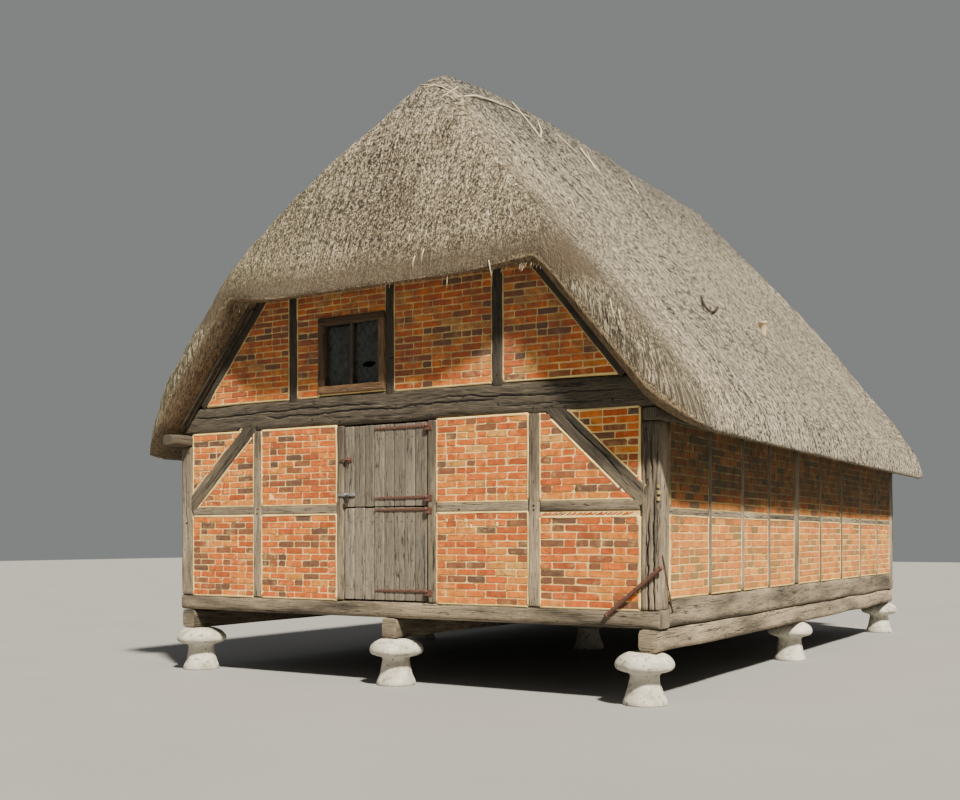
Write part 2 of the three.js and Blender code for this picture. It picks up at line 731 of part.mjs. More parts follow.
// side is -1 for the left slope, 1 for the right one. The two surfaces over a grid of the plan are
// closed round their rim.
function thatchSide(side) {
  const xs = HALF_XS.map((x) => (x === 0 ? side * SEAT / 2 : side * x));
  const low = [];
  const high = [];
  const rows = 2 * (EDGE_ROWS.length + ARRIS_ROWS.length + LONG_ROWS.length);
  xs.forEach((x) => {
    const edge = HALF_D + overhang(x);
    const front = rowRuns(x, -1).map((run) => [run, run - edge]);
    const back = rowRuns(x, 1).map((run) => [run, edge - run]);
    for (const [run, y] of [...front, ...back.reverse()]) {
      const [a, b] = thatchHeights(x, y, run);
      low.push(x, y, a);
      high.push(x, y, b);
    }
  });
  const count = low.length / 3;
  const index = [];
  const quad = (a, b, c, d) =>
    side > 0 ? index.push(a, b, c, a, c, d) : index.push(a, c, b, a, d, c);
  const at = (i, j) => i * rows + j;
  for (let i = 0; i + 1 < xs.length; i++) {
    for (let j = 0; j + 1 < rows; j++) {
      const [a, b, c, d] = [at(i, j), at(i + 1, j), at(i + 1, j + 1), at(i, j + 1)];
      quad(count + a, count + b, count + c, count + d);
      quad(a, d, c, b);
    }
    const end = rows - 1;
    quad(at(i, 0), at(i + 1, 0), count + at(i + 1, 0), count + at(i, 0));
    quad(at(i + 1, end), at(i, end), count + at(i, end), count + at(i + 1, end));
  }
  const last = xs.length - 1;
  for (let j = 0; j + 1 < rows; j++) {
    quad(at(0, j + 1), at(0, j), count + at(0, j), count + at(0, j + 1));
    quad(at(last, j), at(last, j + 1), count + at(last, j + 1), count + at(last, j));
  }
  const g = new THREE.BufferGeometry();
  g.setAttribute("position", new THREE.Float32BufferAttribute([...low, ...high], 3));
  g.setIndex(index);
  return solid(g);
}

// Where the thatch presses on the gable frames and rafters it is hollowed to them.
const frontFrameGrown = gableFrame(SEAT, tieGrown).translate([0, -HALF_D, 0]);
const backFrameGrown = gableFrame(SEAT, tieGrown)
  .rotate([0, 0, 180])
  .translate([0, HALF_D, 0]);
const roofTimbers = join([rafters, ridge]);
const raftersGrown = join([
  roofTimbers.translate([0, 0, SEAT]),
  roofTimbers.translate([SEAT, 0, 0]),
  roofTimbers.translate([-SEAT, 0, 0]),
]);
for (const [name, side] of [
  ["left", -1],
  ["right", 1],
]) {
  const coat = cut(thatchSide(side), [frontFrameGrown, backFrameGrown, raftersGrown]);
  add(granary, "thatch_" + name, coat, THATCH);
}

// The stable door: two boarded leaves on strap hinges that hang on pintles at the right jamb

const HINGE_Y = -HINGE_OUT;
const BOARD_DEPTH = [LEAF_FACE, LEAF_FACE + BOARD_THICK];
const LEDGE_DEPTH = [BOARD_DEPTH[1] - 5, BOARD_DEPTH[1] + LEDGE_THICK];
const LEDGE_HIGH = 110;
const STRAP_HIGH = 36;
const STRAP_LONG = 640;
const STRAP_DEPTH = [LEAF_FACE - SEAT - 7, LEAF_FACE - SEAT];
const KNUCKLE = 15;
const PIN = 8;
const PIN_PLAY = 0.6;

function leaf([z0, z1], ledges) {
  const boards = box(LEAF_X, BOARD_DEPTH, [z0, z1]);
  const backs = ledges.map((z) =>
    box([LEAF_X[0] + 70, LEAF_X[1] - 30], LEDGE_DEPTH, [
      z - LEDGE_HIGH / 2,
      z + LEDGE_HIGH / 2,
    ]),
  );
  return join([boards, ...backs]);
}

function strap(z) {
  const height = [z - STRAP_HIGH / 2, z + STRAP_HIGH / 2];
  const eye = rod([HINGE_X, HINGE_Y, height[0]], [HINGE_X, HINGE_Y, height[1]], KNUCKLE, 20);
  const hole = rod(
    [HINGE_X, HINGE_Y, height[0] - 5],
    [HINGE_X, HINGE_Y, height[1] + 5],
    PIN + PIN_PLAY,
    20,
  );
  const bar = box([HINGE_X - STRAP_LONG, HINGE_X - 9], STRAP_DEPTH, height);
  const neck = box([HINGE_X - 14, HINGE_X - 9], [HINGE_Y, STRAP_DEPTH[1]], height);
  return join([bar, neck, eye]).subtract(hole);
}

function pintle(z) {
  const seat = z - STRAP_HIGH / 2 - 1;
  const pin = rod([HINGE_X, HINGE_Y, seat - 20], [HINGE_X, HINGE_Y, z + STRAP_HIGH / 2 + 4], PIN, 20);
  const arm = box([HINGE_X - 8, HINGE_X + 30], [HINGE_Y - 8, -SEAT], [seat - 24, seat]);
  const plate = box([HINGE_X + 12, HINGE_X + 66], [-6 - SEAT, -SEAT], [seat - 24, z + 18]);
  return join([pin, arm, plate]);
}

const LEAVES = {
  upper: { z: [LEAF_SPLIT[1], LEAF_Z[1]], straps: { upper: 2600, lower: 1895 } },
  lower: { z: [LEAF_Z[0], LEAF_SPLIT[0]], straps: { upper: 1775, lower: 960 } },
};
for (const [name, { z, straps }] of Object.entries(LEAVES)) {
  const ledges = [z[0] + 120, z[1] - 120];
  add(frontWall, name + "_door_leaf", leaf(z, ledges), DOOR_BOARDS);
  for (const [place, height] of Object.entries(straps)) {
    const label = name + "_leaf_" + place;
    add(frontWall, label + "_strap_hinge", strap(height), RUSTY_IRON);
    add(frontWall, label + "_pintle", pintle(height), RUSTY_IRON);
  }
}

// The hasp with its padlock, and a small slide bolt above it, both on the upper leaf

const HASP_Z = [1920, 1950];
const LATCH_OUT = [-11, -6]; // clear of the jamb's face
const LEAF_SEAT = LEAF_FACE - SEAT;
const PADLOCK = [box([-552, -498], [-30, -10], [1850, 1896])];
for (const x of [-542, -508]) {
  PADLOCK.push(box([x - 4, x + 4], [-26, -9], [1890, 1932])); // the shackle's two legs
}
const hasp = join([
  box([-560, -430], [LATCH_OUT[0], LEAF_SEAT], HASP_Z), // staple plate on the boards
  box([-640, -550], LATCH_OUT, HASP_Z), // strap that reaches over the jamb
  ...PADLOCK,
]);
add(frontWall, "hasp_and_padlock", hasp, GALVANISED);
const slideBolt = join([
  box([-565, -470], [-4, LEAF_SEAT], [2270, 2320]), // back plate
  box([-615, -480], [-18, -6], [2288, 2302]), // the bolt
  box([-540, -520], [-20, 0], [2282, 2308]), // its keeper
]);
add(frontWall, "slide_bolt", slideBolt, RUSTY_IRON);

// An iron pole props the front right corner post: it leans on the face of the post and sill
const POLE_R = 21;
const poleY = -POLE_R - SEAT;
const pole = rod([2985, poleY, 1232], [2440, poleY, 785], POLE_R, 14);
add(frontWall, "iron_prop_pole", pole, RUSTY_IRON);

export default granary;
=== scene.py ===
# %% [markdown]
# # A thatched granary on mushroom stones
#
# The frame that this script loads holds every timber, wall and hinge at its real size. What it lacks is
# the look: squared logs that moved and cracked, hand-made bricks in wide lime joints, and a straw coat
# half a metre thick. Each step below makes one of these as a surface worked out with numpy, because a
# formula on a whole array is quick, and the same formula gives the same building on every run.

# %% Load the frame
import math

import bpy
import numpy as np
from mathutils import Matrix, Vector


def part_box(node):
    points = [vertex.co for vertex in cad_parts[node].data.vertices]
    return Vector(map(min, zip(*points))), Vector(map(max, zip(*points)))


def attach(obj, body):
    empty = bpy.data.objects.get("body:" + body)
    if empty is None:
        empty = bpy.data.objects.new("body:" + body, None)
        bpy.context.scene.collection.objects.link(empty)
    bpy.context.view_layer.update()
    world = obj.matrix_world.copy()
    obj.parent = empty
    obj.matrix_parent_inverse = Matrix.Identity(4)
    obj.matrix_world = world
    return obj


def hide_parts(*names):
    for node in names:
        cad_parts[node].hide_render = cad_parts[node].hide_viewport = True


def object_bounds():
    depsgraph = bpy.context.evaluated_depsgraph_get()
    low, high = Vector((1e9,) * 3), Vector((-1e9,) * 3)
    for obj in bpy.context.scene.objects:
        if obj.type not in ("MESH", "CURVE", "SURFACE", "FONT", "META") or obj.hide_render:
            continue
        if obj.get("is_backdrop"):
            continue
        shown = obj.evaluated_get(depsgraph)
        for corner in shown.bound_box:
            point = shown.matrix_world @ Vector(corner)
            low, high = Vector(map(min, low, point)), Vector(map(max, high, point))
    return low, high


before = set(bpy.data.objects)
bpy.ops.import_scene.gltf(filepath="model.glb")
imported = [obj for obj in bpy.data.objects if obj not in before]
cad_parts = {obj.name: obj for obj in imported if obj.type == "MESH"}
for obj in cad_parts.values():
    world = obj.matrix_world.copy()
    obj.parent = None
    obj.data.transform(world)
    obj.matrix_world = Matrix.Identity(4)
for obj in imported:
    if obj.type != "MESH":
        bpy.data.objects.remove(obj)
cad_low, cad_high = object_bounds()
HALF_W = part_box("front_sill")[1].x
HALF_D = -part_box("front_sill")[0].y
STONE_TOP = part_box("bearer_left")[0].z
BEARER_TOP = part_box("bearer_left")[1].z
FLOOR_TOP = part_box("front_sill")[1].z
SIDE_SILL_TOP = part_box("right_sill")[1].z
PLATE_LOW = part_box("left_wall_plate")[0].z
TIE_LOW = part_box("front_tie_beam")[0].z
print("nodes", len(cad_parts), "half width", round(HALF_W, 3), "half depth", round(HALF_D, 3))

# %% [markdown]
# ## Camera
#
# The photograph was taken from the front right, about 11 m from the door, with the camera level. A level
# camera keeps upright lines upright, and the frame is then shifted up the picture, as a view camera does.

# %% Camera
CAMERA_PLACE = (6.891, -13.762, 1.482)
CAMERA_TURN = math.radians(30.43)
PICTURE_WIDE = 960
FOCAL = 1124.8 / PICTURE_WIDE
SENSOR = 36.0
SHIFT = (-40 / PICTURE_WIDE, 138.6 / PICTURE_WIDE)

camera = bpy.data.objects.new("camera", bpy.data.cameras.new("camera"))
camera.location = CAMERA_PLACE
camera.rotation_euler = (math.pi / 2, 0, CAMERA_TURN)
camera.data.sensor_width = SENSOR
camera.data.lens = FOCAL * SENSOR
camera.data.shift_x, camera.data.shift_y = SHIFT
camera.data.clip_end = 300
bpy.context.scene.collection.objects.link(camera)
bpy.context.scene.camera = camera
print("camera at", CAMERA_PLACE)


# %% [markdown]
# ## Building shader nodes in few words
#
# A material is a graph of nodes. This small class adds a node, sets its options, and either links or sets
# each input, so that a graph reads like a formula.


# %% Node helper
class Graph:
    """Adds nodes to the tree of a material or a node group."""

    def __init__(self, tree):
        self.tree = tree

    def feed(self, socket, value):
        """Links a socket to another one, or sets its value."""
        if isinstance(value, bpy.types.NodeSocket):
            self.tree.links.new(value, socket)
        else:
            socket.default_value = value

    def node(self, kind, inputs=(), **options):
        """Adds a node of that kind. inputs maps a socket's name or number to a value or to a socket."""
        made = self.tree.nodes.new("ShaderNode" + kind)
        for key, value in options.items():
            setattr(made, key, value)
        for socket, value in dict(inputs).items():
            self.feed(made.inputs[socket], value)
        return made

    def math(self, operation, a, b=0.0, clamp=False):
        """One sum or product of two values."""
        return self.node("Math", {0: a, 1: b}, operation=operation, use_clamp=clamp).outputs[0]

    def times(self, a, b):
        """The product of two values."""
        return self.math("MULTIPLY", a, b)

    def plus(self, a, b):
        """The sum of two values."""
        return self.math("ADD", a, b)

    def mix(self, share, a, b):
        """Colour a, turning into colour b as share goes from 0 to 1."""
        return self.node("Mix", {0: share, 6: a, 7: b}, data_type="RGBA").outputs[2]

    def shade(self, color, factor):
        """A colour made darker or lighter by a factor."""
        options = {"data_type": "RGBA", "blend_type": "MULTIPLY"}
        return self.node("Mix", {0: 1.0, 6: color, 7: factor}, **options).outputs[2]

    def span(self, value, low, high, to_low=0.0, to_high=1.0):
        """value from low to high becomes to_low to to_high, held at both ends."""
        inputs = {"Value": value, "From Min": low, "From Max": high, "To Min": to_low, "To Max": to_high}
        return self.node("MapRange", inputs, clamp=True).outputs[0]

    def noise(self, vector, scale, detail=3.0, roughness=0.55):
        """Smooth random values round 0.5."""
        inputs = {"Vector": vector, "Scale": scale, "Detail": detail, "Roughness": roughness}
        return self.node("TexNoise", inputs).outputs["Fac"]

    def stretch(self, vector, factors):
        """The vector times three factors."""
        return self.node("VectorMath", {0: vector, 1: factors}, operation="MULTIPLY").outputs[0]

    def ramp(self, value, stops):
        """A colour for each value, from (place, colour) stops."""
        made = self.node("ValToRGB", {"Fac": value})
        elements = made.color_ramp.elements
        while len(elements) < len(stops):
            elements.new(0.5)
        for element, (place, color) in zip(elements, stops):
            element.position = place
            element.color = (*color, 1)
        return made.outputs["Color"]

    def object_place(self):
        """The point's place in the building, in metres."""
        return self.node("TexCoord").outputs["Object"]

    def axes(self, vector):
        """The X, Y and Z of a vector."""
        return self.node("SeparateXYZ", {0: vector}).outputs

    def attribute(self, name):
        """A value that the mesh carries."""
        return self.node("Attribute", attribute_name=name).outputs["Fac"]

    def uv(self, name):
        """The mesh's own flat coordinates, in metres."""
        return self.node("UVMap", uv_map=name).outputs["UV"]

    def group(self, tree, inputs):
        """Places a node group."""
        return self.node("Group", inputs, node_tree=tree).outputs


def new_group(name, inputs, outputs):
    """An empty node group with named inputs (name, socket kind, value) and outputs (name, socket kind)."""
    tree = bpy.data.node_groups.new(name, "ShaderNodeTree")
    for label, kind, value in inputs:
        socket = tree.interface.new_socket(label, in_out="INPUT", socket_type="NodeSocket" + kind)
        if value is not None:
            socket.default_value = value
    for label, kind in outputs:
        tree.interface.new_socket(label, in_out="OUTPUT", socket_type="NodeSocket" + kind)
    return tree, tree.nodes.new("NodeGroupInput").outputs, tree.nodes.new("NodeGroupOutput").inputs


def new_material(name):
    """A material with its Principled shader, and the helper for its nodes."""
    made = bpy.data.materials.new(name)
    made.use_nodes = True
    shader = made.node_tree.nodes["Principled BSDF"]
    return made, Graph(made.node_tree), shader


def dress(graph, shader, color, roughness, height=None, distance=0.002, strength=1.0):
    """Feeds a Principled shader with a colour, a roughness and a bump from a height."""
    graph.feed(shader.inputs["Base Color"], color)
    graph.feed(shader.inputs["Roughness"], roughness)
    if height is not None:
        bump = graph.node("Bump", {"Height": height, "Distance": distance, "Strength": strength})
        graph.feed(shader.inputs["Normal"], bump.outputs[0])


print("node helper ready")

# %% [markdown]
# ## Floor and light
#
# The building stands on a plain pale floor. A soft high sun from the front right throws the shadows that the
# photograph shows, and a bright dome fills the shade.

# %% Floor and light
STAGE_SIZE = 60.0
floor_points = [(x * STAGE_SIZE, y * STAGE_SIZE, 0) for x, y in ((-1, -1), (1, -1), (1, 1), (-1, 1))]
stage_mesh = bpy.data.meshes.new("stage")
stage_mesh.from_pydata(floor_points, [], [(0, 1, 2, 3)])
stage = bpy.data.objects.new("stage", stage_mesh)
bpy.context.scene.collection.objects.link(stage)
pale, graph, shader = new_material("pale floor")
speckle = graph.noise(graph.object_place(), 0.6)
dress(graph, shader, graph.mix(speckle, (0.25, 0.25, 0.24, 1), (0.29, 0.29, 0.28, 1)), 0.9)
stage_mesh.materials.append(pale)
stage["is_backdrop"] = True

SUN_TILT = math.radians(41)  # away from straight down
SUN_TURN = math.radians(56)  # from the front towards the right
sun = bpy.data.objects.new("sun", bpy.data.lights.new("sun", "SUN"))
sun.data.energy = 10.5
sun.data.angle = math.radians(5)
sun.data.color = (1.0, 0.93, 0.80)
sun.rotation_euler = (SUN_TILT, 0, SUN_TURN)
bpy.context.scene.collection.objects.link(sun)
world = bpy.data.worlds.new("studio")
world.use_nodes = True
world.node_tree.nodes["Background"].inputs["Color"].default_value = (0.88, 0.90, 0.90, 1)
world.node_tree.nodes["Background"].inputs["Strength"].default_value = 0.26
bpy.context.scene.world = world
print("stage and light made")

# %% [markdown]
# ## Noise on whole arrays
#
# Nothing on an old farm building is straight. Value noise gives a smooth random number for each point in
# space: random values at the corners of a lattice, blended by soft steps. With a cell size for each axis
# it can be stretched along the grain of a log or down a slope.


# %% Noise and soft steps
def smooth(t):
    """A soft step: 3 t squared less 2 t cubed, with t held between 0 and 1."""
    t = np.clip(t, 0, 1)
    return t * t * (3 - 2 * t)


def noise(points, size, seed=0):
    """Value noise from -1 to 1. Cells have the given size, one number or one for each axis."""
    p = np.asarray(points, float) / size + 91.7
    cell = np.floor(p).astype(np.int64)
    share = smooth(p - cell)
    total = np.zeros(p.shape[:-1])
    for corner in np.ndindex(2, 2, 2):
        c = cell + corner
        mixed = c[..., 0] * 73856093 ^ c[..., 1] * 19349663 ^ c[..., 2] * 83492791 ^ (seed * 12582917 + 77)
        mixed = (mixed ^ (mixed >> 15)) * 2246822519
        value = ((mixed ^ (mixed >> 13)) & 0xFFFF) / 0x7FFF - 1
        total += value * np.prod(np.where(corner, share, 1 - share), axis=-1)
    return total


def soft_min(a, b, reach):
    """The lesser of two heights, its crease rounded over reach: less a quarter of reach times the nearness
    squared."""
    near = np.clip(reach - np.abs(a - b), 0, None) / reach
    return np.minimum(a, b) - near * near * reach / 4


random = np.random.default_rng(1787)
print("noise at three points", noise(np.eye(3), 0.4).round(3))

# %% [markdown]
# ## From arrays to a mesh
#
# Each shape hands over its points and its faces. A face carries flat coordinates for each of its corners,
# so that grain can run round a log without a seam, and each point may carry a value, such as the tint of
# its brick. The heap puts many shapes into one mesh with four calls, however many faces there are.


# %% Heap of shapes
class Heap:
    """Gathers shapes. points is (n, 3); parts is a list of (faces, uv, round) with faces (m, k), uv (m, k, 2)
    and round saying whether they are shaded smooth; values are one number or one for each point."""

    def __init__(self):
        self.points, self.parts, self.values, self.count = [], [], {}, 0

    def add(self, points, parts, **values):
        points = np.asarray(points, float).reshape(-1, 3)
        for faces, uv, is_round in parts:
            self.parts.append((np.asarray(faces) + self.count, np.asarray(uv, float), is_round))
        for name, value in values.items():
            column = np.broadcast_to(np.asarray(value, float).ravel(), (len(points),))
            self.values.setdefault(name, []).append((self.count, column))
        self.points.append(points)
        self.count += len(points)

    def triangles(self):
        return sum(len(faces) * (faces.shape[1] - 2) for faces, _, _ in self.parts)


def build(name, heap, material, body="granary", replaced=()):
    """Makes the heap one piece that rides on a body and stands for the nodes it replaces."""
    mesh = bpy.data.meshes.new(name)
    points = np.concatenate(heap.points)
    corners = np.concatenate([faces.ravel() for faces, _, _ in heap.parts])
    sizes = np.concatenate([np.full(len(faces), faces.shape[1]) for faces, _, _ in heap.parts])
    shade = np.concatenate([np.full(len(faces), is_round) for faces, _, is_round in heap.parts])
    mesh.vertices.add(len(points))
    mesh.vertices.foreach_set("co", points.ravel())
    mesh.loops.add(len(corners))
    mesh.loops.foreach_set("vertex_index", corners)
    mesh.polygons.add(len(sizes))
    mesh.polygons.foreach_set("loop_start", np.cumsum(sizes) - sizes)
    mesh.update(calc_edges=True)
    mesh.polygons.foreach_set("use_smooth", shade)
    uv = np.concatenate([uv.reshape(-1, 2) for _, uv, _ in heap.parts])
    mesh.uv_layers.new(name="lay").uv.foreach_set("vector", uv.ravel())
    for label, chunks in heap.values.items():
        column = np.zeros(len(points))
        for start, chunk in chunks:
            column[start : start + len(chunk)] = chunk
        mesh.attributes.new(label, "FLOAT", "POINT").data.foreach_set("value", column)
    mesh.materials.append(material)
    piece = bpy.data.objects.new(name, mesh)
    bpy.context.scene.collection.objects.link(piece)
    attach(piece, body)
    if replaced:
        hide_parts(*replaced)
    print(f"{name}: {heap.triangles()} triangles")


# %% Grids and tubes
def grid_faces(rows, columns, closed=False):
    """Faces between neighbours of a grid of points; closed joins the last column to the first. Seen with the
    columns running left to right and the rows bottom to top, they face the reader."""
    i, j = np.meshgrid(np.arange(rows - 1), np.arange(columns if closed else columns - 1), indexing="ij")
    k = (j + 1) % columns
    i, j, k = i.ravel(), j.ravel(), k.ravel()
    return np.stack([i * columns + j, i * columns + k, (i + 1) * columns + k, (i + 1) * columns + j], 1)


def tube(points, around, along):
    """A closed tube. points is (rows, ring, 3); around is each ring point's distance round the section, with
    one more for the way back to the first; along is each row's distance. Ends are closed by flat caps."""
    rows, ring = points.shape[:2]
    faces = grid_faces(rows, ring, closed=True)
    i, j = np.divmod(np.arange((rows - 1) * ring), ring)
    u = np.stack([around[j], around[j + 1], around[j + 1], around[j]], 1)
    v = np.stack([along[i], along[i], along[i + 1], along[i + 1]], 1)
    parts = [(faces, np.stack([u, v], -1), True)]
    last = np.arange(ring)[None] + (rows - 1) * ring
    first = np.arange(ring)[None, ::-1]
    for cap in (first, last):
        flat = points.reshape(-1, 3)[cap[0]]
        place = (flat - flat.mean(0)) @ np.linalg.svd(flat - flat.mean(0))[2][:2].T
        parts.append((cap, place[None], False))
    return points.reshape(-1, 3), parts


print("a 3 by 4 grid has", len(grid_faces(3, 4)), "faces")

# %% [markdown]
# ## Squared logs
#
# The frame is oak, squared with an axe and a saw about two hundred years ago. A plain box would give
# razor edges. Here a rounded square, which is a circle divided by its own 8-norm, is carried along the
# log. Noise moves the middle line, hollows the faces between the hard year rings and breaks the arrises
# where bark or rot went away. Long drying cracks are real grooves on the largest faces.


# %% Timber
ROUND_POWER = 9
ARRIS_FROM, ARRIS_TO = 0.62, 0.93
RIM = 0.012  # length of the worn rim at each end
END_TAPER = 0.1  # length over which an end that shrinks does so
CRACK_FADE = 0.25  # length over which a crack opens and closes


def timber(
    start, end, wide, deep, out,
    ring=20, step=0.09, wear=1.0, cracks=(), ends=(0.0, 0.0), taper=1.0, tint=None,
):
    """A squared log from start to end. out is the way its deep side faces. Each row of points is the rounded
    square times half the widths, less noise; cracks are (place across, from, to, width, depth, drift) on the
    outer face, with lengths in metres from the start, and draw the points of the ring towards that face;
    ends are how far the section shrinks at each end, and taper is how much wider it is at the end."""
    start, end, out = (np.array(v, float) for v in (start, end, out))
    length = np.linalg.norm(end - start)
    axis = (end - start) / length
    out = out - axis * (out @ axis)
    out /= np.linalg.norm(out)
    side = np.cross(out, axis)
    turn = np.linspace(0, 2 * np.pi, ring, endpoint=False) + np.pi / ring
    turn = turn + (0.5 * np.cos(turn) if len(cracks) else 0)
    circle = np.stack([np.cos(turn), np.sin(turn)])
    square = circle / (np.abs(circle) ** ROUND_POWER).sum(0) ** (1 / ROUND_POWER)
    rim = min(RIM, wide / 8)
    rows = max(int(length / step), 2)
    s = np.concatenate([[0, rim / 3], np.linspace(rim, length - rim, rows), [length - rim / 3, length]])
    near_end = np.minimum(s, length - s) / rim
    shrink = 1 - 0.10 * np.clip(1 - near_end, 0, 1) ** 2
    for share, distance in zip(ends, (s, length - s)):
        shrink -= share * np.clip(1 - distance / END_TAPER, 0, 1) ** 2
    a = shrink[:, None] * square[0] * wide / 2
    b = shrink[:, None] * square[1] * deep / 2
    if taper != 1.0:
        a = a * (1 + (taper - 1) * (s / length)[:, None])
    local = np.stack([a, b, np.broadcast_to(s[:, None], a.shape)], -1) + start * 1.7
    arris = smooth((np.minimum(*np.abs(square)) - ARRIS_FROM) / (ARRIS_TO - ARRIS_FROM))
    wane = np.clip(noise(local, (0.3, 0.3, 0.35), 5), 0, 1) * 0.10 + 0.02
    grain = 0.006 * noise(local, (0.025, 0.025, 0.7), 7) + 0.005 * noise(local, (0.06, 0.06, 0.16), 9)
    cut = 1 - wear * (arris * wane + grain + 0.006)
    a, b = a * cut, b * cut
    line = np.stack([0 * s, 0 * s, s], -1) + start * 1.3
    sway = 0.05 * wide * noise(line, 0.9, 11)[:, None] * wear * smooth(near_end / 20)[:, None]
    dark = np.zeros_like(a)
    for place, low, high, width, depth, drift in cracks:
        path = place * wide / 2 + drift * noise(line, 0.22, int(900 + 100 * place))
        path = path + drift * 0.4 * noise(line, 0.05, int(700 + 100 * place))
        window = smooth((s - low) / CRACK_FADE) * smooth((high - s) / CRACK_FADE)
        groove = np.exp(-(((a - path[:, None]) / width) ** 2)) * window[:, None] * (square[1] > 0.3)
        b = b - depth * groove
        dark = np.maximum(dark, groove)
    points = start + (a + sway)[..., None] * side + b[..., None] * out + s[:, None, None] * axis
    outline = np.concatenate([square, square[:, :1]], 1) * [[wide / 2], [deep / 2]]
    around = np.concatenate([[0], np.cumsum(np.linalg.norm(np.diff(outline, axis=1), axis=0))])
    shift = random.uniform(0, 50, 2)
    flat, parts = tube(points, around + shift[0], s + shift[1])
    return flat, parts, {"dark": dark.ravel(), "tint": random.uniform(0.3, 0.8) if tint is None else tint}


def put(heap, made, **changed):
    """Adds a shape that came with its values, some of them changed."""
    points, parts, values = made
    heap.add(points, parts, **{**values, **changed})


demo = timber((0, 0, 0), (0, 0, 1), 0.12, 0.1, (0, -1, 0))
print("a stud a metre long has", len(demo[0]), "points")

# %% [markdown]
# ## Oak and its grain
#
# The oak turns from nearly black higher up to silver-grey low down.
# One node group makes the grain for every wood here: long fibres, and fine drying cracks where a
# stretched noise passes through its middle value. The vector is in metres, along the log and round it.

# %% Grain group
GRAIN_INPUTS = [("Vector", "Vector", None), ("Fibre", "Float", 0.004), ("Length", "Float", 0.25)]
GRAIN_INPUTS += [("Crack", "Float", 0.022), ("Crack Width", "Float", 0.045)]
grain_tree, grain_in, grain_out = new_group(
    "grain", GRAIN_INPUTS, [("Fibre", "Float"), ("Crack", "Float"), ("Height", "Float")]
)
graph = Graph(grain_tree)


def in_cells(wide, long):
    """The group's vector counted in cells of a width and a length."""
    size = graph.node("CombineXYZ", {"X": wide, "Y": long, "Z": wide}).outputs[0]
    return graph.node("VectorMath", {0: grain_in["Vector"], 1: size}, operation="DIVIDE").outputs[0]


fibres = graph.noise(in_cells(grain_in["Fibre"], grain_in["Length"]), 1.0, 4.0, 0.6)
crack_place = in_cells(grain_in["Crack"], graph.times(grain_in["Length"], 2.2))
veins = graph.noise(crack_place, 1.0, 2.0, 0.5)
gap = graph.math("ABSOLUTE", graph.math("SUBTRACT", veins, 0.5))
opened = graph.span(gap, 0.0, grain_in["Crack Width"], 1.0, 0.0)
patchy = graph.span(graph.noise(crack_place, 0.45, 1.0), 0.45, 0.6)
opened = graph.times(opened, patchy)
raised = graph.math("SUBTRACT", graph.times(fibres, 0.5), opened)
for label, value in (("Fibre", fibres), ("Crack", opened), ("Height", raised)):
    graph.feed(grain_out[label], value)
print("grain group has", len(grain_tree.nodes), "nodes")

# %% [markdown]
# ### Woods
#
# Every wood is the same recipe with its own colours: dark between the fibres, light on them, turning to a
# bleached colour low down, with cracks and specks that are nearly black.


# %% Wood materials
CRACK_BLACK = (0.006, 0.005, 0.004, 1)
LENGTH_OF_FIBRE = 55  # times its width
BLEACH_HEIGHTS = (1.7, 2.7)  # heights between which the bleaching fades out


def wood(name, dark, light, bleached, from_object=None, fibre=0.004):
    """Weathered wood. Fibres go from dark to light, and low down they turn to the bleached colour.
    from_object says which axes stand for round and along the grain; without it the mesh's own lay does,
    with its tint and its dark grooves."""
    made, graph, shader = new_material(name)
    place = graph.object_place()
    vector = graph.uv("lay") if from_object is None else graph.stretch(place, from_object)
    inputs = {"Vector": vector, "Fibre": fibre, "Length": fibre * LENGTH_OF_FIBRE}
    grain = graph.group(grain_tree, inputs)
    blotch = graph.noise(graph.stretch(vector, (4.0, 0.7, 4.0)), 1.0, 4.0)
    color = graph.ramp(grain["Fibre"], [(0.34, dark), (0.66, light)])
    # Lighter low down and darker higher up, by height alone.
    lower_share = graph.span(graph.axes(place)["Z"], *BLEACH_HEIGHTS, 1.0, 0.0)
    share = graph.math("MULTIPLY", lower_share, graph.span(blotch, 0.34, 0.62), clamp=True)
    color = graph.mix(share, color, (*bleached, 1))
    color = graph.shade(color, graph.span(grain["Fibre"], 0.32, 0.68, 0.4, 1.3))
    deep = grain["Crack"]
    if from_object is None:
        color = graph.shade(color, graph.span(graph.attribute("tint"), 0.0, 1.0, 0.5, 1.5))
        deep = graph.math("MAXIMUM", deep, graph.attribute("dark"))
    dots = graph.noise(graph.stretch(vector, (70.0, 14.0, 70.0)), 1.0, 3.0, 0.7)
    color = graph.mix(graph.span(dots, 0.56, 0.68, 0.0, 0.75), color, (*dark, 1))
    color = graph.mix(graph.span(deep, 0.15, 0.9), color, CRACK_BLACK)
    dress(graph, shader, color, graph.span(grain["Fibre"], 0.3, 0.7, 0.75, 0.95), grain["Height"], 0.004, 0.9)
    return made


OLD_OAK = wood("old oak", (0.020, 0.016, 0.011), (0.120, 0.094, 0.063), (0.33, 0.262, 0.175))
WITHIN = (0.03, 0.022, 0.016), (0.12, 0.095, 0.07), (0.16, 0.13, 0.1)
OAK_WITHIN = wood("old oak within", *WITHIN, from_object=(1, 0.2, 1))
DOOR_WOOD = wood("door boards", (0.085, 0.07, 0.052), (0.215, 0.18, 0.135), (0.25, 0.21, 0.155), fibre=0.003)
FRAME_WOOD = wood("window oak", (0.06, 0.033, 0.017), (0.20, 0.115, 0.055), (0.20, 0.115, 0.055), fibre=0.003)
FLOOR_WOOD = wood("floor boards", (0.06, 0.045, 0.03), (0.2, 0.15, 0.1), (0.22, 0.17, 0.12))
print("woods made")

# %% [markdown]
# ## The wall frames
#
# Each wall has its own flat coordinates: along the wall, into it from its outer face, and up. One turn
# takes them into the building, so the same lists make the front and the back, and the left side is the
# right one turned end for end. A corner post is a hero piece with a finer mesh and real cracks; a side
# stud gets fewer faces.

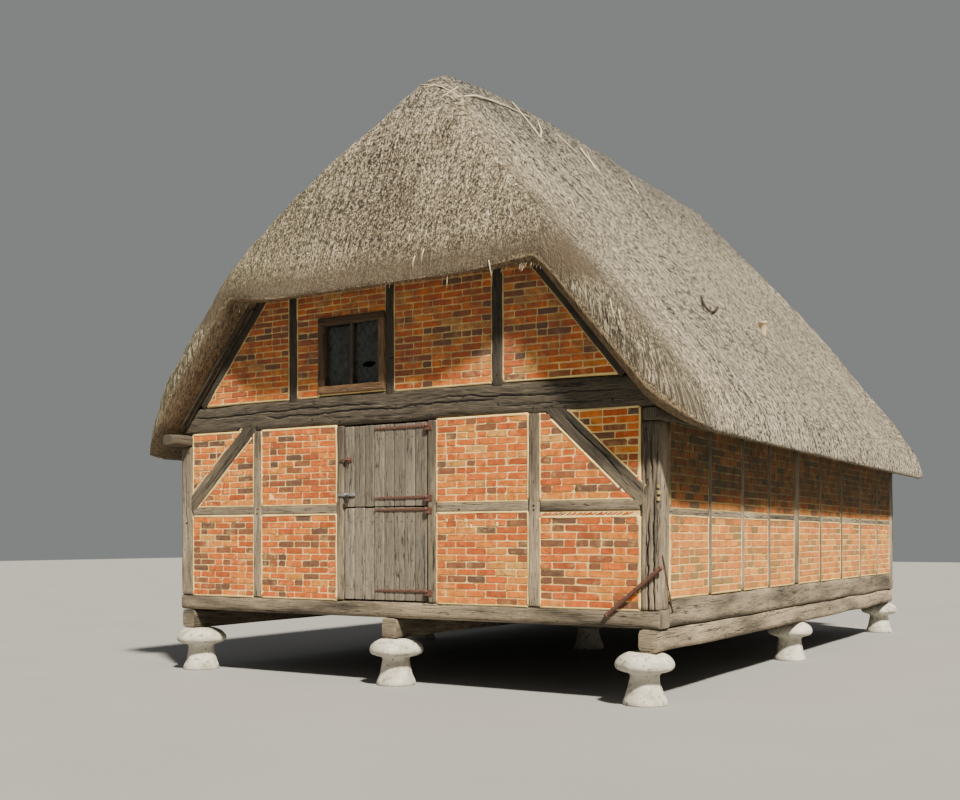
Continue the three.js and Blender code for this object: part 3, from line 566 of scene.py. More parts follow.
# %% Walls and driving sizes
POST_WIDE, POST_DEEP = 0.19, 0.26
STUD_DEEP, JAMB_DEEP = 0.1, 0.14
FRONT_RAIL = (1.73, 1.84)
SIDE_RAIL = (1.69, 1.76)
RAIL_DEPTH = (0.003, STUD_DEEP)
BRACE_WIDE = 0.188
BRACE_HEAD_X, BRACE_FOOT_Z = 1.93, 1.88
POST_FACE = HALF_W - POST_WIDE
SIDE_REACH = HALF_D - POST_DEEP
JAMBS = [(-0.68, -0.58), (0.47, 0.585)]
FRONT_STUDS = [(-1.842, -1.722), (1.62, 1.75)]
FRONT_UPRIGHTS = [FRONT_STUDS[0], (JAMBS[0][0], JAMBS[1][1]), FRONT_STUDS[1]]
BACK_STUDS = [(x - 0.06, x + 0.06) for x in (-1.782, -0.594, 0.594, 1.782)]
GABLE_STUDS = [(-1.33, -1.21), (-0.04, 0.07), (1.22, 1.35)]
SIDE_STUD_WIDE, MAIN_POST_WIDE, MAIN_POST_Y = 0.084, 0.2, -0.53
MAIN_POST = (MAIN_POST_Y - MAIN_POST_WIDE / 2, MAIN_POST_Y + MAIN_POST_WIDE / 2)
SIDE_STUDS_Y = (-3.39, -2.44, -1.57, 0.49, 1.52, 2.55, 3.57)
SIDE_STUDS = [(y - SIDE_STUD_WIDE / 2, y + SIDE_STUD_WIDE / 2) for y in SIDE_STUDS_Y]
SIDE_UPRIGHTS = sorted([*SIDE_STUDS, MAIN_POST])
RAFTER_APEX, PITCH, RAFTER_FALL = 6.195, 1.2, 0.18
TIE_DEEP = 0.2
TIE_FLAT = 2.95
COLLAR = (4.09, 4.225)
WALLS = {
    "front": (0.0, HALF_D),
    "right": (90.0, HALF_W),
    "back": (180.0, HALF_D),
    "left": (270.0, HALF_W),
    "middle": (0.0, TIE_DEEP / 2 - MAIN_POST_Y),
}


def on_wall(wall, points):
    """Turns wall coordinates (along, into the wall, up) into the building's: a turn about the upright, then
    a shift by the wall's distance."""
    turn, distance = WALLS[wall]
    c, s = math.cos(math.radians(turn)), math.sin(math.radians(turn))
    x, d, z = np.moveaxis(np.asarray(points, float), -1, 0)
    return np.stack([c * x - s * (d - distance), s * x + c * (d - distance), z], -1)


def facing(wall):
    """The way out of a wall."""
    return on_wall(wall, (0, -1, 0)) - on_wall(wall, (0, 0, 0))


def beam(heap, wall, start, end, wide, depth, **how):
    """A log in a wall, between two places (along, up), from the first depth to the second."""
    middle = sum(depth) / 2
    a, b = on_wall(wall, (start[0], middle, start[1])), on_wall(wall, (end[0], middle, end[1]))
    put(heap, timber(a, b, wide, depth[1] - depth[0], facing(wall), **how))


def upright(heap, wall, span, low, high, depth, **how):
    """An upright log over a span along the wall."""
    x = sum(span) / 2
    beam(heap, wall, (x, low), (x, high), span[1] - span[0], depth, **how)


def bays(reach, uprights):
    """The runs between uprights, from -reach to reach along a wall."""
    edges = [-reach, *(x for span in uprights for x in span), reach]
    return list(zip(edges[::2], edges[1::2]))


def side_span(wall, span):
    """A span of a side wall, given towards the back of the building, in the wall's own coordinates."""
    return span if wall == "right" else (-span[1], -span[0])


print("front face points", on_wall("front", [(0, 0, 0)]), "right wall faces", facing("right").round(3))

# %% [markdown]
# ### Corner posts
#
# The two front posts stand in full view and have weathered most, so they get a fine mesh, and each of their
# long cracks is listed. The two at the back are plain.

# %% Posts
FINE = {"ring": 48, "step": 0.03}
LEFT_POST_CRACKS = [(0.1, 0.5, 1.5, 0.006, 0.012, 0.02)]
RIGHT_POST_CRACKS = [
    (-0.45, -0.3, 1.15, 0.006, 0.030, 0.012),
    (0.05, -0.3, 0.95, 0.006, 0.035, 0.016),
    (0.35, 0.1, 0.9, 0.005, 0.020, 0.008),
    (0.45, 0.95, 1.5, 0.006, 0.030, 0.014),
    (-0.15, 1.0, 1.7, 0.006, 0.020, 0.014),
    (-0.70, 0.4, 1.6, 0.005, 0.014, 0.008),
]
POST_LOOKS = {
    ("front", -1): {"cracks": LEFT_POST_CRACKS, **FINE},
    ("front", 1): {"cracks": RIGHT_POST_CRACKS, "wear": 1.3, **FINE},
}
heap = Heap()
for end, toward in (("front", -1), ("back", 1)):
    for side in (-1, 1):
        how = POST_LOOKS.get((end, side), {"ring": 24, "step": 0.08})
        x, y = side * (HALF_W - POST_WIDE / 2), toward * (HALF_D - POST_DEEP / 2)
        foot, head = (x, y, FLOOR_TOP), (x, y, PLATE_LOW)
        put(heap, timber(foot, head, POST_WIDE, POST_DEEP, (0, toward, 0), tint=0.7, **how))
POST_NODES = [f"{end}_{side}_corner_post" for end in ("front", "back") for side in ("left", "right")]
build("corner_posts", heap, OLD_OAK, replaced=POST_NODES)

# %% [markdown]
# ### Sills and bearers
#
# The sills lie flat on three bearers, and the bearers on the stones. A log that lies along the building
# fills the box of its node, so its size comes straight from the frame.


# %% Sills and bearers
def long_log(node, **how):
    """A log that fills the box of a node that lies along the building, its outer side facing out."""
    low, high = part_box(node)
    x, z = (low.x + high.x) / 2, (low.z + high.z) / 2
    out = (-1 if "left" in node else 1, 0, 0)
    return timber((x, low.y, z), (x, high.y, z), high.z - low.z, high.x - low.x, out, step=0.12, **how)


heap = Heap()
for walls, reach, top, deep, step in (
    (("front", "back"), HALF_W, FLOOR_TOP, POST_DEEP, 0.09),
    (("left", "right"), SIDE_REACH, SIDE_SILL_TOP, POST_WIDE, 0.12),
):
    for wall in walls:
        z = (BEARER_TOP + top) / 2
        beam(heap, wall, (-reach, z), (reach, z), top - BEARER_TOP, (0, deep), ring=28, step=step)
BEARERS = ["bearer_left", "bearer_centre", "bearer_right"]
for node in BEARERS:
    put(heap, long_log(node))
SILLS = ["front_sill", "back_sill", "left_sill", "right_sill"]
build("sills_and_bearers", heap, OLD_OAK, replaced=SILLS + BEARERS)

# %% [markdown]
# ### Tie beams and wall plates
#
# A tie beam keeps the walls from spreading. It was cut from a log with a slight bow, and laid with the bow
# up. So its middle is lifted, and its ends are sliced off along the rafters.


# %% Tie beams and wall plates
CAMBER, CAMBER_REACH = 0.03, 2.7
RAFTER_GAP = 0.012  # between a tie beam's ends and the upper side of the rafters


def tie_beam(wall, cracks=(), **how):
    """A cambered tie beam: a squared log whose middle rises by a parabola, and whose top is held under the
    slope of the roof."""
    middle = TIE_LOW + (TIE_FLAT - TIE_LOW) / 2
    start, end = on_wall(wall, (-HALF_W, TIE_DEEP / 2, middle)), on_wall(wall, (HALF_W, TIE_DEEP / 2, middle))
    high = TIE_FLAT - TIE_LOW
    points, parts, values = timber(start, end, high, TIE_DEEP, facing(wall), cracks=cracks, **how)
    x = np.abs(points @ facing("right"))
    above = smooth((points[:, 2] - TIE_LOW) / high)
    points[:, 2] += CAMBER * (1 - (x / CAMBER_REACH) ** 2).clip(0) * above
    points[:, 2] = np.minimum(points[:, 2], RAFTER_APEX - RAFTER_GAP - PITCH * x)
    return points, parts, values


TIE_CRACKS = [
    (0.22, 0.1, 2.9, 0.0065, 0.013, 0.016),
    (-0.15, 1.2, 4.3, 0.0065, 0.014, 0.020),
    (-0.55, 2.0, 3.4, 0.0055, 0.009, 0.012),
    (0.20, 3.4, 5.6, 0.006, 0.012, 0.016),
    (-0.40, 4.2, 5.5, 0.0055, 0.010, 0.012),
]
heap = Heap()
put(heap, tie_beam("front", TIE_CRACKS, ring=72, step=0.03, wear=1.2, tint=0.6))
put(heap, tie_beam("back", TIE_CRACKS[:3], ring=32, step=0.09))
put(heap, tie_beam("middle", ring=20, step=0.2))
build("tie_beams", heap, OLD_OAK, replaced=["front_tie_beam", "back_tie_beam", "middle_tie_beam"])

heap = Heap()
PLATES = ["left_wall_plate", "right_wall_plate"]
for node in PLATES:
    put(heap, long_log(node, ends=(0.12, 0.12)))
build("wall_plates", heap, OLD_OAK, replaced=PLATES)

# %% [markdown]
# ### Studs, rails, jambs and braces
#
# Between the posts stand studs, with a rail half way up, and a brace in each upper corner. The front is
# nearest to the eye, so its timbers have more points and the cracks that show.


# %% Studs, rails, jambs and braces
def brace_line(side):
    """A brace's head and foot, as (along, up), cut where it meets the tie beam and the post."""
    return (side * BRACE_HEAD_X, TIE_LOW), (side * POST_FACE, BRACE_FOOT_Z)


def brace(heap, wall, side, **how):
    """A brace runs a hand's width into the beam and the post, as its tenons do."""
    head, foot = (np.array(p) for p in brace_line(side))
    way = (foot - head) / np.linalg.norm(foot - head)
    beam(heap, wall, head - way * 0.1, foot + way * 0.08, BRACE_WIDE, (0.002, STUD_DEEP), **how)


def rails(heap, wall, runs, heights, **how):
    """A rail over each run along the wall, from its lower to its upper height."""
    z = sum(heights) / 2
    for start, end in runs:
        beam(heap, wall, (start, z), (end, z), heights[1] - heights[0], RAIL_DEPTH, **how)


heap = Heap()
for x in FRONT_STUDS:
    upright(heap, "front", x, FLOOR_TOP, TIE_LOW, (0, STUD_DEEP), ring=32, step=0.05, tint=1.0)
for x in JAMBS:
    upright(heap, "front", x, FLOOR_TOP, TIE_LOW, (0, JAMB_DEEP), ring=32, step=0.05, tint=0.45)
rails(heap, "front", bays(POST_FACE, FRONT_UPRIGHTS), FRONT_RAIL, ring=28, step=0.06, tint=0.45)
for side in (-1, 1):
    brace(heap, "front", side, ring=40, step=0.04, cracks=[(0.2, 0.1, 1.1, 0.006, 0.014, 0.012)], tint=0.25)
build("front_frame", heap, OLD_OAK, replaced=["front_left_framing", "front_right_framing"])

heap = Heap()
for x in BACK_STUDS:
    upright(heap, "back", x, FLOOR_TOP, TIE_LOW, (0, STUD_DEEP))
rails(heap, "back", bays(POST_FACE, BACK_STUDS), FRONT_RAIL)
for side in (-1, 1):
    brace(heap, "back", side)
build("back_frame", heap, OLD_OAK, replaced=["back_framing"])

for wall in ("left", "right"):
    heap = Heap()
    detail = {"ring": 24, "step": 0.06} if wall == "right" else {}
    for span in SIDE_UPRIGHTS:
        deep = POST_WIDE if span == MAIN_POST else STUD_DEEP
        upright(heap, wall, side_span(wall, span), SIDE_SILL_TOP, PLATE_LOW, (0, deep), **detail)
    runs = [side_span(wall, run) for run in bays(SIDE_REACH, SIDE_UPRIGHTS)]
    rails(heap, wall, runs, SIDE_RAIL, **detail)
    build(wall + "_frame", heap, OLD_OAK, replaced=[wall + "_framing"])

# %% [markdown]
# ### Gable frames
#
# Over the tie beam two rafters, a collar and three studs frame the gable. Two thin boards follow each rafter
# outside the wall, and the straw lies on them.


# %% Gable frames
TRIM_WIDE = 0.026
TRIM_BOARDS = [(0.03, (-0.035, -0.006), 1.0), (0.025, (-0.095, -0.07), 0.4)]  # fall, depth and tint


def under_slope(z, fall=0.0):
    """How far from the middle the rafters' line, lowered by fall, stands at height z."""
    return (RAFTER_APEX - fall - z) / PITCH


def on_slope(side, low, high, fall):
    """Two places (along, up) on the rafters' line, lowered by fall."""
    return [(side * under_slope(z, fall), z) for z in (low, high)]


RAFTER_DEEP = RAFTER_FALL / math.hypot(1, PITCH)
for wall in ("front", "back"):
    heap = Heap()
    detail = {"ring": 28, "step": 0.05} if wall == "front" else {}
    # The gable's studs, rafters and collar get darker tints than the frame below: painted shade of the straw
    # lip, on the oak's own dark tone.
    for x in GABLE_STUDS:
        upright(heap, wall, x, TIE_FLAT - 0.02, COLLAR[0], (0, STUD_DEEP), tint=0.15, **detail)
    for side in (-1, 1):
        ends = on_slope(side, TIE_FLAT + 0.01, COLLAR[1] - 0.02, RAFTER_FALL / 2 + 0.006)
        beam(heap, wall, *ends, RAFTER_DEEP, (0, STUD_DEEP), tint=0.1, **detail)
        for fall, depth, tint in TRIM_BOARDS:
            ends = on_slope(side, TIE_LOW + 0.1, COLLAR[0] - 0.12, fall)
            beam(heap, wall, *ends, TRIM_WIDE, depth, ring=12, wear=1.6, tint=tint)
    reach = under_slope(COLLAR[1], 0.02)
    z = sum(COLLAR) / 2
    beam(heap, wall, (-reach, z), (reach, z), COLLAR[1] - COLLAR[0] - 0.01, (0.004, STUD_DEEP), tint=0.1)
    build(wall + "_gable_timbers", heap, OLD_OAK, replaced=[wall + "_gable_frame"])

# %% [markdown]
# ## Bricks and lime
#
# The panels between the timbers were filled by hand with soft orange bricks and a good deal of lime. A
# wall is a list of panels. For each course of a panel the run between two timbers is known, so the bricks
# are shared out: whole stretchers, with a half brick at one end of every other course, and here and there
# two headers in place of a stretcher. Where a timber slants, the bricks run on behind it.

# %% [markdown]
# ### Painted shade and a lime wash on the walls
#
# The gable turns a darker red-brown, painted shade of the straw lip. The side walls turn dark olive under
# the eaves, painted shadow of the eaves, with a worn wash of lime below it. The two walls that the sun
# doesn't reach are made duller all over, painted shade. Bricks and mortar share these colours: one node
# group.

# %% Shade and wash group
SHADE_AND_WASH_INPUTS = [("Place", "Vector", None), ("Color", "Color", None)]
shade_and_wash_tree, shade_and_wash_in, shade_and_wash_out = new_group("shade_and_wash", SHADE_AND_WASH_INPUTS, [("Color", "Color")])
graph = Graph(shade_and_wash_tree)
axes = graph.axes(shade_and_wash_in["Place"])
cloud = graph.span(graph.noise(shade_and_wash_in["Place"], 6.0, 4.0, 0.7), 0.38, 0.62, 0.35, 1.0)
# Painted shade of the straw lip: the gable, above 2.95 m, turns a darker red-brown, mottled by the cloud.
gable = graph.times(graph.span(axes["Z"], 2.95, 3.25, 0.0, 0.60), cloud)
color = graph.mix(gable, shade_and_wash_in["Color"], (0.128, 0.068, 0.054, 1))
side = graph.math("GREATER_THAN", graph.math("ABSOLUTE", axes["X"]), HALF_W - 0.05)
wash = graph.times(graph.span(axes["Z"], 1.5, 1.9, 0.20, 0.0), side)
color = graph.mix(wash, color, (0.74, 0.50, 0.10, 1))
# Painted shade: the left and back walls, which the sun doesn't reach, are made duller and darker.
left = graph.math("LESS_THAN", axes["X"], 0.05 - HALF_W)
back = graph.math("GREATER_THAN", axes["Y"], HALF_D - 0.05)
sunless = graph.times(graph.math("MAXIMUM", left, back), 0.52)
color = graph.mix(sunless, color, (0.24, 0.125, 0.09, 1))
# Painted shadow of the eaves: the side walls turn dark olive above the rail, nearly all over at the top.
even = graph.span(cloud, 0.35, 1.0, 0.8, 1.0)
eave_shadow = graph.times(graph.span(axes["Z"], 1.6, 2.0, 0.10, 0.94), even)
graph.feed(shade_and_wash_out["Color"], graph.mix(graph.times(side, eave_shadow), color, (0.036, 0.033, 0.011, 1)))
print("soot group has", len(shade_and_wash_tree.nodes), "nodes")

# %% Brick and mortar materials
BRICK_TONES = [
    (0.00, (0.120, 0.066, 0.042)),
    (0.10, (0.23, 0.090, 0.040)),
    (0.16, (0.30, 0.098, 0.034)),
    (0.24, (0.44, 0.085, 0.016)),
    (0.50, (0.64, 0.130, 0.016)),
    (0.80, (0.72, 0.200, 0.022)),
    (0.94, (0.68, 0.245, 0.034)),
    (1.00, (0.64, 0.31, 0.07)),
]
brick_clay, graph, shader = new_material("brick")
place = graph.object_place()
color = graph.ramp(graph.attribute("tint"), BRICK_TONES)
color = graph.shade(color, graph.span(graph.noise(place, 11.0, 4.0), 0.3, 0.7, 0.72, 1.22))
burn = graph.span(graph.noise(place, 24.0, 3.0), 0.56, 0.7, 0.0, 0.55)
color = graph.mix(burn, color, (0.13, 0.045, 0.028, 1))
smear = graph.span(graph.noise(place, 7.0, 5.0, 0.7), 0.55, 0.70, 0.0, 0.4)
color = graph.mix(smear, color, (0.82, 0.60, 0.22, 1))
color = graph.group(shade_and_wash_tree, {"Place": place, "Color": color})["Color"]
pits = graph.span(graph.noise(place, 160.0, 3.0, 0.6), 0.28, 0.5)
dress(graph, shader, color, 0.92, graph.plus(pits, graph.noise(place, 34.0, 2.0)), 0.003, 0.9)

lime_mortar, graph, shader = new_material("lime mortar")
place = graph.object_place()
stain = graph.span(graph.noise(place, 5.0, 5.0), 0.3, 0.72)
color = graph.mix(stain, (0.96, 0.74, 0.31, 1), (0.72, 0.50, 0.18, 1))
sand = graph.noise(place, 420.0, 2.0, 0.7)
color = graph.mix(graph.span(sand, 0.55, 0.72, 0.0, 0.5), color, (0.22, 0.16, 0.11, 1))
color = graph.group(shade_and_wash_tree, {"Place": place, "Color": color})["Color"]
crumbs = graph.plus(graph.noise(place, 60.0, 5.0, 0.75), graph.times(sand, 0.3))
dress(graph, shader, color, 0.95, crumbs, 0.006, 1.0)


def dress_nodes(names, material):
    """Gives nodes of the frame that stay in sight their material."""
    for name in names:
        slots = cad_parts[name].data.materials
        slots.clear()
        slots.append(material)


dress_nodes([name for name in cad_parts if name.endswith("_brickwork")], lime_mortar)
print("brick and mortar made")

# %% [markdown]
# ### Sharing bricks out
#
# A run is counted in half bricks. What is left over is spread over the joints, and every joint moves a few
# millimetres, because a bricklayer works by eye.

# %% Sharing bricks out
COURSE, SIDE_COURSE = 0.0677, 0.075
BRICK_LONG, JOINT = 0.23, 0.0118
BRICK_DEPTH = 0.007  # of the bricks' face behind the timbers'
BRICK_BACK = 0.026  # depth of the bricks' back, inside the mortar slab
HEADERS = 0.13  # share of stretchers that give way to two headers
SLIVER = 0.03


def share_out(low, high, course, slants):
    """The bricks of one run as (start, end, is header). Between two upright timbers half-brick units are
    stretched to fit; where an end slants they keep their size and are cut there."""
    unit = (BRICK_LONG + JOINT) / 2
    count = max(round((high - low + JOINT) / unit), 1)
    if any(slants):
        count = math.ceil((high - low) / unit)
    else:
        unit = (high - low + JOINT) / count
    sizes = [1] if course % 2 else []
    while sum(sizes) < count:
        left_over = count - sum(sizes)
        whole = left_over > 1 and random.uniform() > HEADERS
        sizes += [2] if whole else [1, 1][:left_over]
    ends = np.cumsum(sizes) * unit
    ends[:-1] += random.uniform(-0.009, 0.009, len(sizes) - 1)
    starts = np.concatenate([[0], ends[:-1]])
    spans = np.stack([low + starts, low + ends - JOINT], 1)
    if slants[0]:
        spans = (low + high - spans)[:, ::-1]
    spans = spans.clip(low, high)
    header = np.array(sizes) == 1
    kept = spans[:, 1] - spans[:, 0] > SLIVER
    return spans[kept], header[kept]


CORNERS = [(-1, -1), (1, -1), (1, 1), (-1, 1)]


def brick_ring(fine):
    """The points round a brick's face as (x side, z side, x cut, z cut, corner). Each corner is cut by two
    points; a fine ring has points along the edges too, which chip and bow."""
    ring = []
    for corner, (x, z) in enumerate(CORNERS):
        cuts = [(x, 0), (0, z)] if corner % 2 else [(0, z), (x, 0)]
        ring += [(x, z, *cut, corner) for cut in cuts]
        if fine:
            far_x, far_z = CORNERS[(corner + 1) % 4]
            shares = (0.25, 0.5, 0.75) if corner % 2 == 0 else (0.5,)
            ring += [(x + (far_x - x) * t, z + (far_z - z) * t, 0, 0, corner) for t in shares]
    return np.array(ring, float)


def lay_bricks(heap, wall, spans, low, high, header, fine):
    """Adds bricks. Each has a ring round its back, one round its arris and one round its face, which is
    a little smaller; every brick is turned, tipped and chipped a little."""
    ring = brick_ring(fine)
    x_side, z_side, x_cut, z_cut, corner = ring.T
    count, points = len(spans), len(ring)
    half = np.stack([spans[:, 1] - spans[:, 0], high - low], 1)[:, :, None, None] / 2
    middle = np.stack([spans.sum(1) / 2, (high + low) / 2], 1)
    inset = np.array([0.002, 0.0, 0.0025])[:, None]
    cut = random.gamma(2.0, 0.003, (count, 4))[:, corner.astype(int)].clip(0.002, 0.02)[:, None]
    x = x_side * (half[:, 0] - inset) - x_cut * cut
    z = z_side * (half[:, 1] - inset) - z_cut * cut
    slip = random.normal(0, 0.0011 if fine else 0.0007, (2, count, 1, points))
    x, z = x + slip[0], z + slip[1] + random.normal(0, 0.0006, (count, 3, points))
    lean = random.normal(0, 0.007, (count, 1, 1))
    x, z = x - lean * z, z + lean * x
    depth = np.array([BRICK_BACK, BRICK_DEPTH + 0.005, BRICK_DEPTH])[:, None] + 0 * x
    tip = random.normal(0, 0.0012, (2, count, 1, 1))
    depth[:, 1:] += (tip[0] * x / half[:, 0] + tip[1])[:, 1:]
    depth[:, 2] += random.normal(0, 0.0006, (count, points))
    x, z = x + middle[:, :1, None], z + middle[:, 1:, None]
    z += 0.006 * noise(np.stack([x, z, 0 * x], -1), (0.9, 0.5, 1.0), 21)
    place = np.stack([x, depth, z], -1).reshape(count, -1, 3)
    start = np.arange(count)[:, None, None] * 3 * points
    sides = (grid_faces(3, points, closed=True)[None] + start).reshape(-1, 4)
    back = (np.arange(points)[::-1] + start[:, 0]).reshape(-1, points)
    face = (np.arange(2 * points, 3 * points) + start[:, 0]).reshape(-1, points)
    flat = place.reshape(-1, 3)
    parts = [(faces, flat[faces][..., [0, 2]], False) for faces in (sides, back, face)]
    batch = 0.12 * noise(np.stack([middle[:, 0], middle[:, 1], 0 * middle[:, 0]], -1), (1.1, 0.6, 1.0), 23)
    tint = (random.uniform(0.2, 0.97, count) + batch).clip(0.17, 1)
    burnt = random.uniform(size=count) < np.where(header, 0.32, 0.18)
    tint = np.where(burnt, random.uniform(0, 0.19, count), tint)
    heap.add(on_wall(wall, flat), parts, tint=np.repeat(tint, 3 * points))


def lay_panel(heap, wall, low, high, left, right, pitch, fine=False):
    """Fills a panel with courses. left and right are places along the wall, or formulas of the height."""
    courses = round((high - low + JOINT / 2) / pitch)
    step = (high - low) / courses
    slants = callable(left), callable(right)
    for course in range(courses):
        z = low + (course + 0.5) * step
        a, b = (edge(z) if callable(edge) else edge for edge in (left, right))
        if b - a < SLIVER:
            continue
        spans, header = share_out(a + 0.004, b - 0.004, course, slants)
        if len(spans):
            half = (step - JOINT + random.uniform(-0.003, 0.002, len(spans))) / 2
            lay_bricks(heap, wall, spans, z - half, z + half, header, fine)


print("bricks of a course 1.2 m long:", share_out(0, 1.2, 1, (False, False))[0].round(3).tolist())


# %% [markdown]
# ### Panels
#
# A panel is four edges: two heights, and two places along the wall. Beside a brace or a rafter an edge is a
# formula of the height instead. The same list is used again for the lime round the panels.

# %% Panels of each wall
BEHIND_BRACE = 0.075  # bricks end this far from a brace's middle line
SLIP_BAND = 0.05  # under the right rail, where slips of tile take the place of a course


def brace_at(side, shift):
    """How far along the wall a brace's middle line stands at a height, plus a shift."""
    (head_x, head_z), (foot_x, foot_z) = brace_line(side)
    return lambda z: shift + head_x + (head_z - z) * (foot_x - head_x) / (head_z - foot_z)


def end_panels(uprights):
    """Panels of the front or back wall between the given uprights: below the rail, above it, and on both
    sides of the braces."""
    panels = []
    for left, right in bays(POST_FACE, uprights):
        panels.append((FLOOR_TOP, FRONT_RAIL[0], left, right))
        above = [(left, right)]
        for side, edge in ((-1, left), (1, right)):
            if edge == side * POST_FACE:
                above = [(left, brace_at(side, -BEHIND_BRACE)), (brace_at(side, BEHIND_BRACE), right)]
        panels += [(FRONT_RAIL[1], TIE_LOW, *edges) for edges in above]
    return panels


FRONT_PANELS = end_panels(FRONT_UPRIGHTS)
under_rail = FRONT_PANELS.index((FLOOR_TOP, FRONT_RAIL[0], FRONT_STUDS[1][1], POST_FACE))
FRONT_PANELS[under_rail] = FLOOR_TOP, FRONT_RAIL[0] - SLIP_BAND, FRONT_STUDS[1][1], POST_FACE
BACK_PANELS = end_panels(BACK_STUDS)

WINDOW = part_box("window_frame")
WINDOW_X, WINDOW_Z = (WINDOW[0].x, WINDOW[1].x), (WINDOW[0].z, WINDOW[1].z)
GABLE_FOOT = TIE_FLAT + 0.025
EAVES = {side: (lambda z, side=side: side * under_slope(z, RAFTER_FALL / 2)) for side in (-1, 1)}
GABLE_PANELS = [
    (GABLE_FOOT, COLLAR[0], EAVES[-1], GABLE_STUDS[0][0]),
    (GABLE_FOOT, COLLAR[0], GABLE_STUDS[1][1], GABLE_STUDS[2][0]),
    (GABLE_FOOT, COLLAR[0], GABLE_STUDS[2][1], EAVES[1]),
]
BESIDE_WINDOW = [
    (GABLE_FOOT, WINDOW_Z[1], GABLE_STUDS[0][1], WINDOW_X[0]),
    (WINDOW_Z[1], COLLAR[0], GABLE_STUDS[0][1], GABLE_STUDS[1][0]),
]
BLIND = [(GABLE_FOOT, COLLAR[0], GABLE_STUDS[0][1], GABLE_STUDS[1][0])]


def side_panels(wall):
    """Panels of a side wall, below and above its rail."""
    panels = []
    for bay in bays(SIDE_REACH, SIDE_UPRIGHTS):
        panels.append((SIDE_SILL_TOP, SIDE_RAIL[0], *side_span(wall, bay)))
        panels.append((SIDE_RAIL[1], PLATE_LOW, *side_span(wall, bay)))
    return panels


ALL_PANELS = {
    "front": FRONT_PANELS + GABLE_PANELS + BESIDE_WINDOW,
    "back": BACK_PANELS + GABLE_PANELS + BLIND,
    "right": side_panels("right"),
    "left": side_panels("left"),
}
for wall, panels in ALL_PANELS.items():
    heap = Heap()
    for panel in panels:
        pitch = COURSE if wall in ("front", "back") else SIDE_COURSE
        lay_panel(heap, wall, *panel, pitch, fine=wall == "front")
    build(wall + "_bricks", heap, brick_clay)

# %% [markdown]
# ## The straw coat
#
# The roof is a height over the plan: two slopes that meet in a soft ridge, cut at both ends by a steep half
# hip. The lesser of two heights, blended where they are near, gives the rounded arris between them. The
# coat's rim is rolled: towards an edge the top and the underside close in on a middle line by the sine of
# an angle, while the distance to the edge follows its cosine, which is a quarter circle.

# %% Roof formulas
EAVE_X, EAVE_UNDER = 3.4, 2.36
THATCH_APEX = 6.745
HIP_END, HIP_Z, HIP_PITCH, HIP_DEEP = 5.05, 4.15, 1.98, 0.7
LIP_UNDER, LIP_RISE = 3.92, 0.35
ROLL = 0.18  # how wide the rim is rolled
OVERHANG_FADE = 3.0


def slope_top(x, y):
    """The two slopes: the soft lesser of two planes, a roll along the ridge, the ridge's own sag, and a sine
    that makes each slope full half way down."""
    planes = soft_min(THATCH_APEX - PITCH * x, THATCH_APEX + PITCH * x, 0.3)
    roll = 0.07 * np.exp(-((x / 0.7) ** 2))
    droop = np.clip(-y - 1.05, 0, None)
    sag = (0.025 * y - 0.02 * droop**2) * np.clip(1 - np.abs(x) / 3, 0, None)
    return planes + roll + sag + 0.12 * np.sin(np.pi * np.clip(np.abs(x) / EAVE_X, 0, 1))


def hip_top(y):
    """A steep plane that is full in its lower part."""
    run = HIP_END - np.abs(y)
    return HIP_Z + HIP_PITCH * run + 0.2 * np.sin(np.pi * np.clip(run / 1.5, 0, 1))


def slope_low(x):
    """The underside: on the rafters, then flatter over the eaves."""
    x = np.abs(x)
    wall = RAFTER_APEX - PITCH * HALF_W
    over_eaves = wall + (EAVE_UNDER - wall) * (x - HALF_W) / (EAVE_X - HALF_W)
    return np.where(x < HALF_W, RAFTER_APEX - PITCH * x, over_eaves)


def hip_low(y):
    """The underside of the hip, and of the lip that juts over the gable."""
    run = HIP_END - np.abs(y)
    return np.maximum(HIP_Z + HIP_PITCH * run - HIP_DEEP, LIP_UNDER + LIP_RISE * run)


def roof_top(x, y):
    """The lesser of slopes and hip, rounder near the ridge."""
    rounding = 0.12 + 0.48 * np.exp(-((x / 0.7) ** 2))
    return soft_min(slope_top(x, y), hip_top(y), rounding)


def overhang(x):
    """How far the coat reaches over the gable wall: further along the lip, less at the eaves' corners."""
    x = np.abs(x)
    return 0.33 + 0.12 * smooth((1.9 - x) / 0.8) - 0.28 * np.clip((x - 2.8) / 0.6, 0, 1) ** 2


print("ridge in the middle", round(float(roof_top(0.0, 0.0)), 3), "lip", round(float(overhang(0.0)), 3))

# %% [markdown]
# ### The coat as a mesh
#
# Half of the coat is a grid: each row is a closed section, over the top from the ridge to the eave and back
# along the underside, and the rows follow one another from gable to gable. The upper side has five points
# for each one underneath, because only the upper side is seen from near.

# %% Coat
LOW_POINTS, SHARE = 34, 5  # points under the coat, and how many top points there are for each
TOP_POINTS = LOW_POINTS * SHARE + 1
SEAM_LAP = 0.003  # how far each half reaches over the middle
LEAST_THICK = 0.06
NOSE_AT_RIM, NOSE_WITHIN = 0.28, 0.2  # height of the rolled nose as a share of the thickness


def across():
    """Distances from the ridge to the eave's edge with the roll's factor: even steps of arc length, the last
    ones round a quarter circle."""
    flat = EAVE_X - ROLL
    s = np.linspace(0, flat + ROLL * np.pi / 2, TOP_POINTS)
    angle = np.clip((s - flat) / ROLL, 0, np.pi / 2)
    return np.where(angle > 0, flat + ROLL * np.sin(angle), s), np.cos(angle)


def runs(steps):
    """Distances from the gable's edge to the middle of the building: round the roll, then by the steps given
    as (until, step)."""
    rolled = ROLL * (1 - np.cos(np.radians([6, 14, 22, 30, 38, 46, 54, 62, 70, 78, 90])))
    made = [rolled]
    start = ROLL
    for until, step in steps:
        made.append(np.arange(start + step, until, step))
        start = made[-1][-1]
    return np.concatenate([*made, [HALF_D]])


def hip_share(x, y):
    """1 where the coat is hip, 0 where it is slope."""
    return smooth(0.5 + (slope_top(x, y) - hip_top(y)) / 0.15)


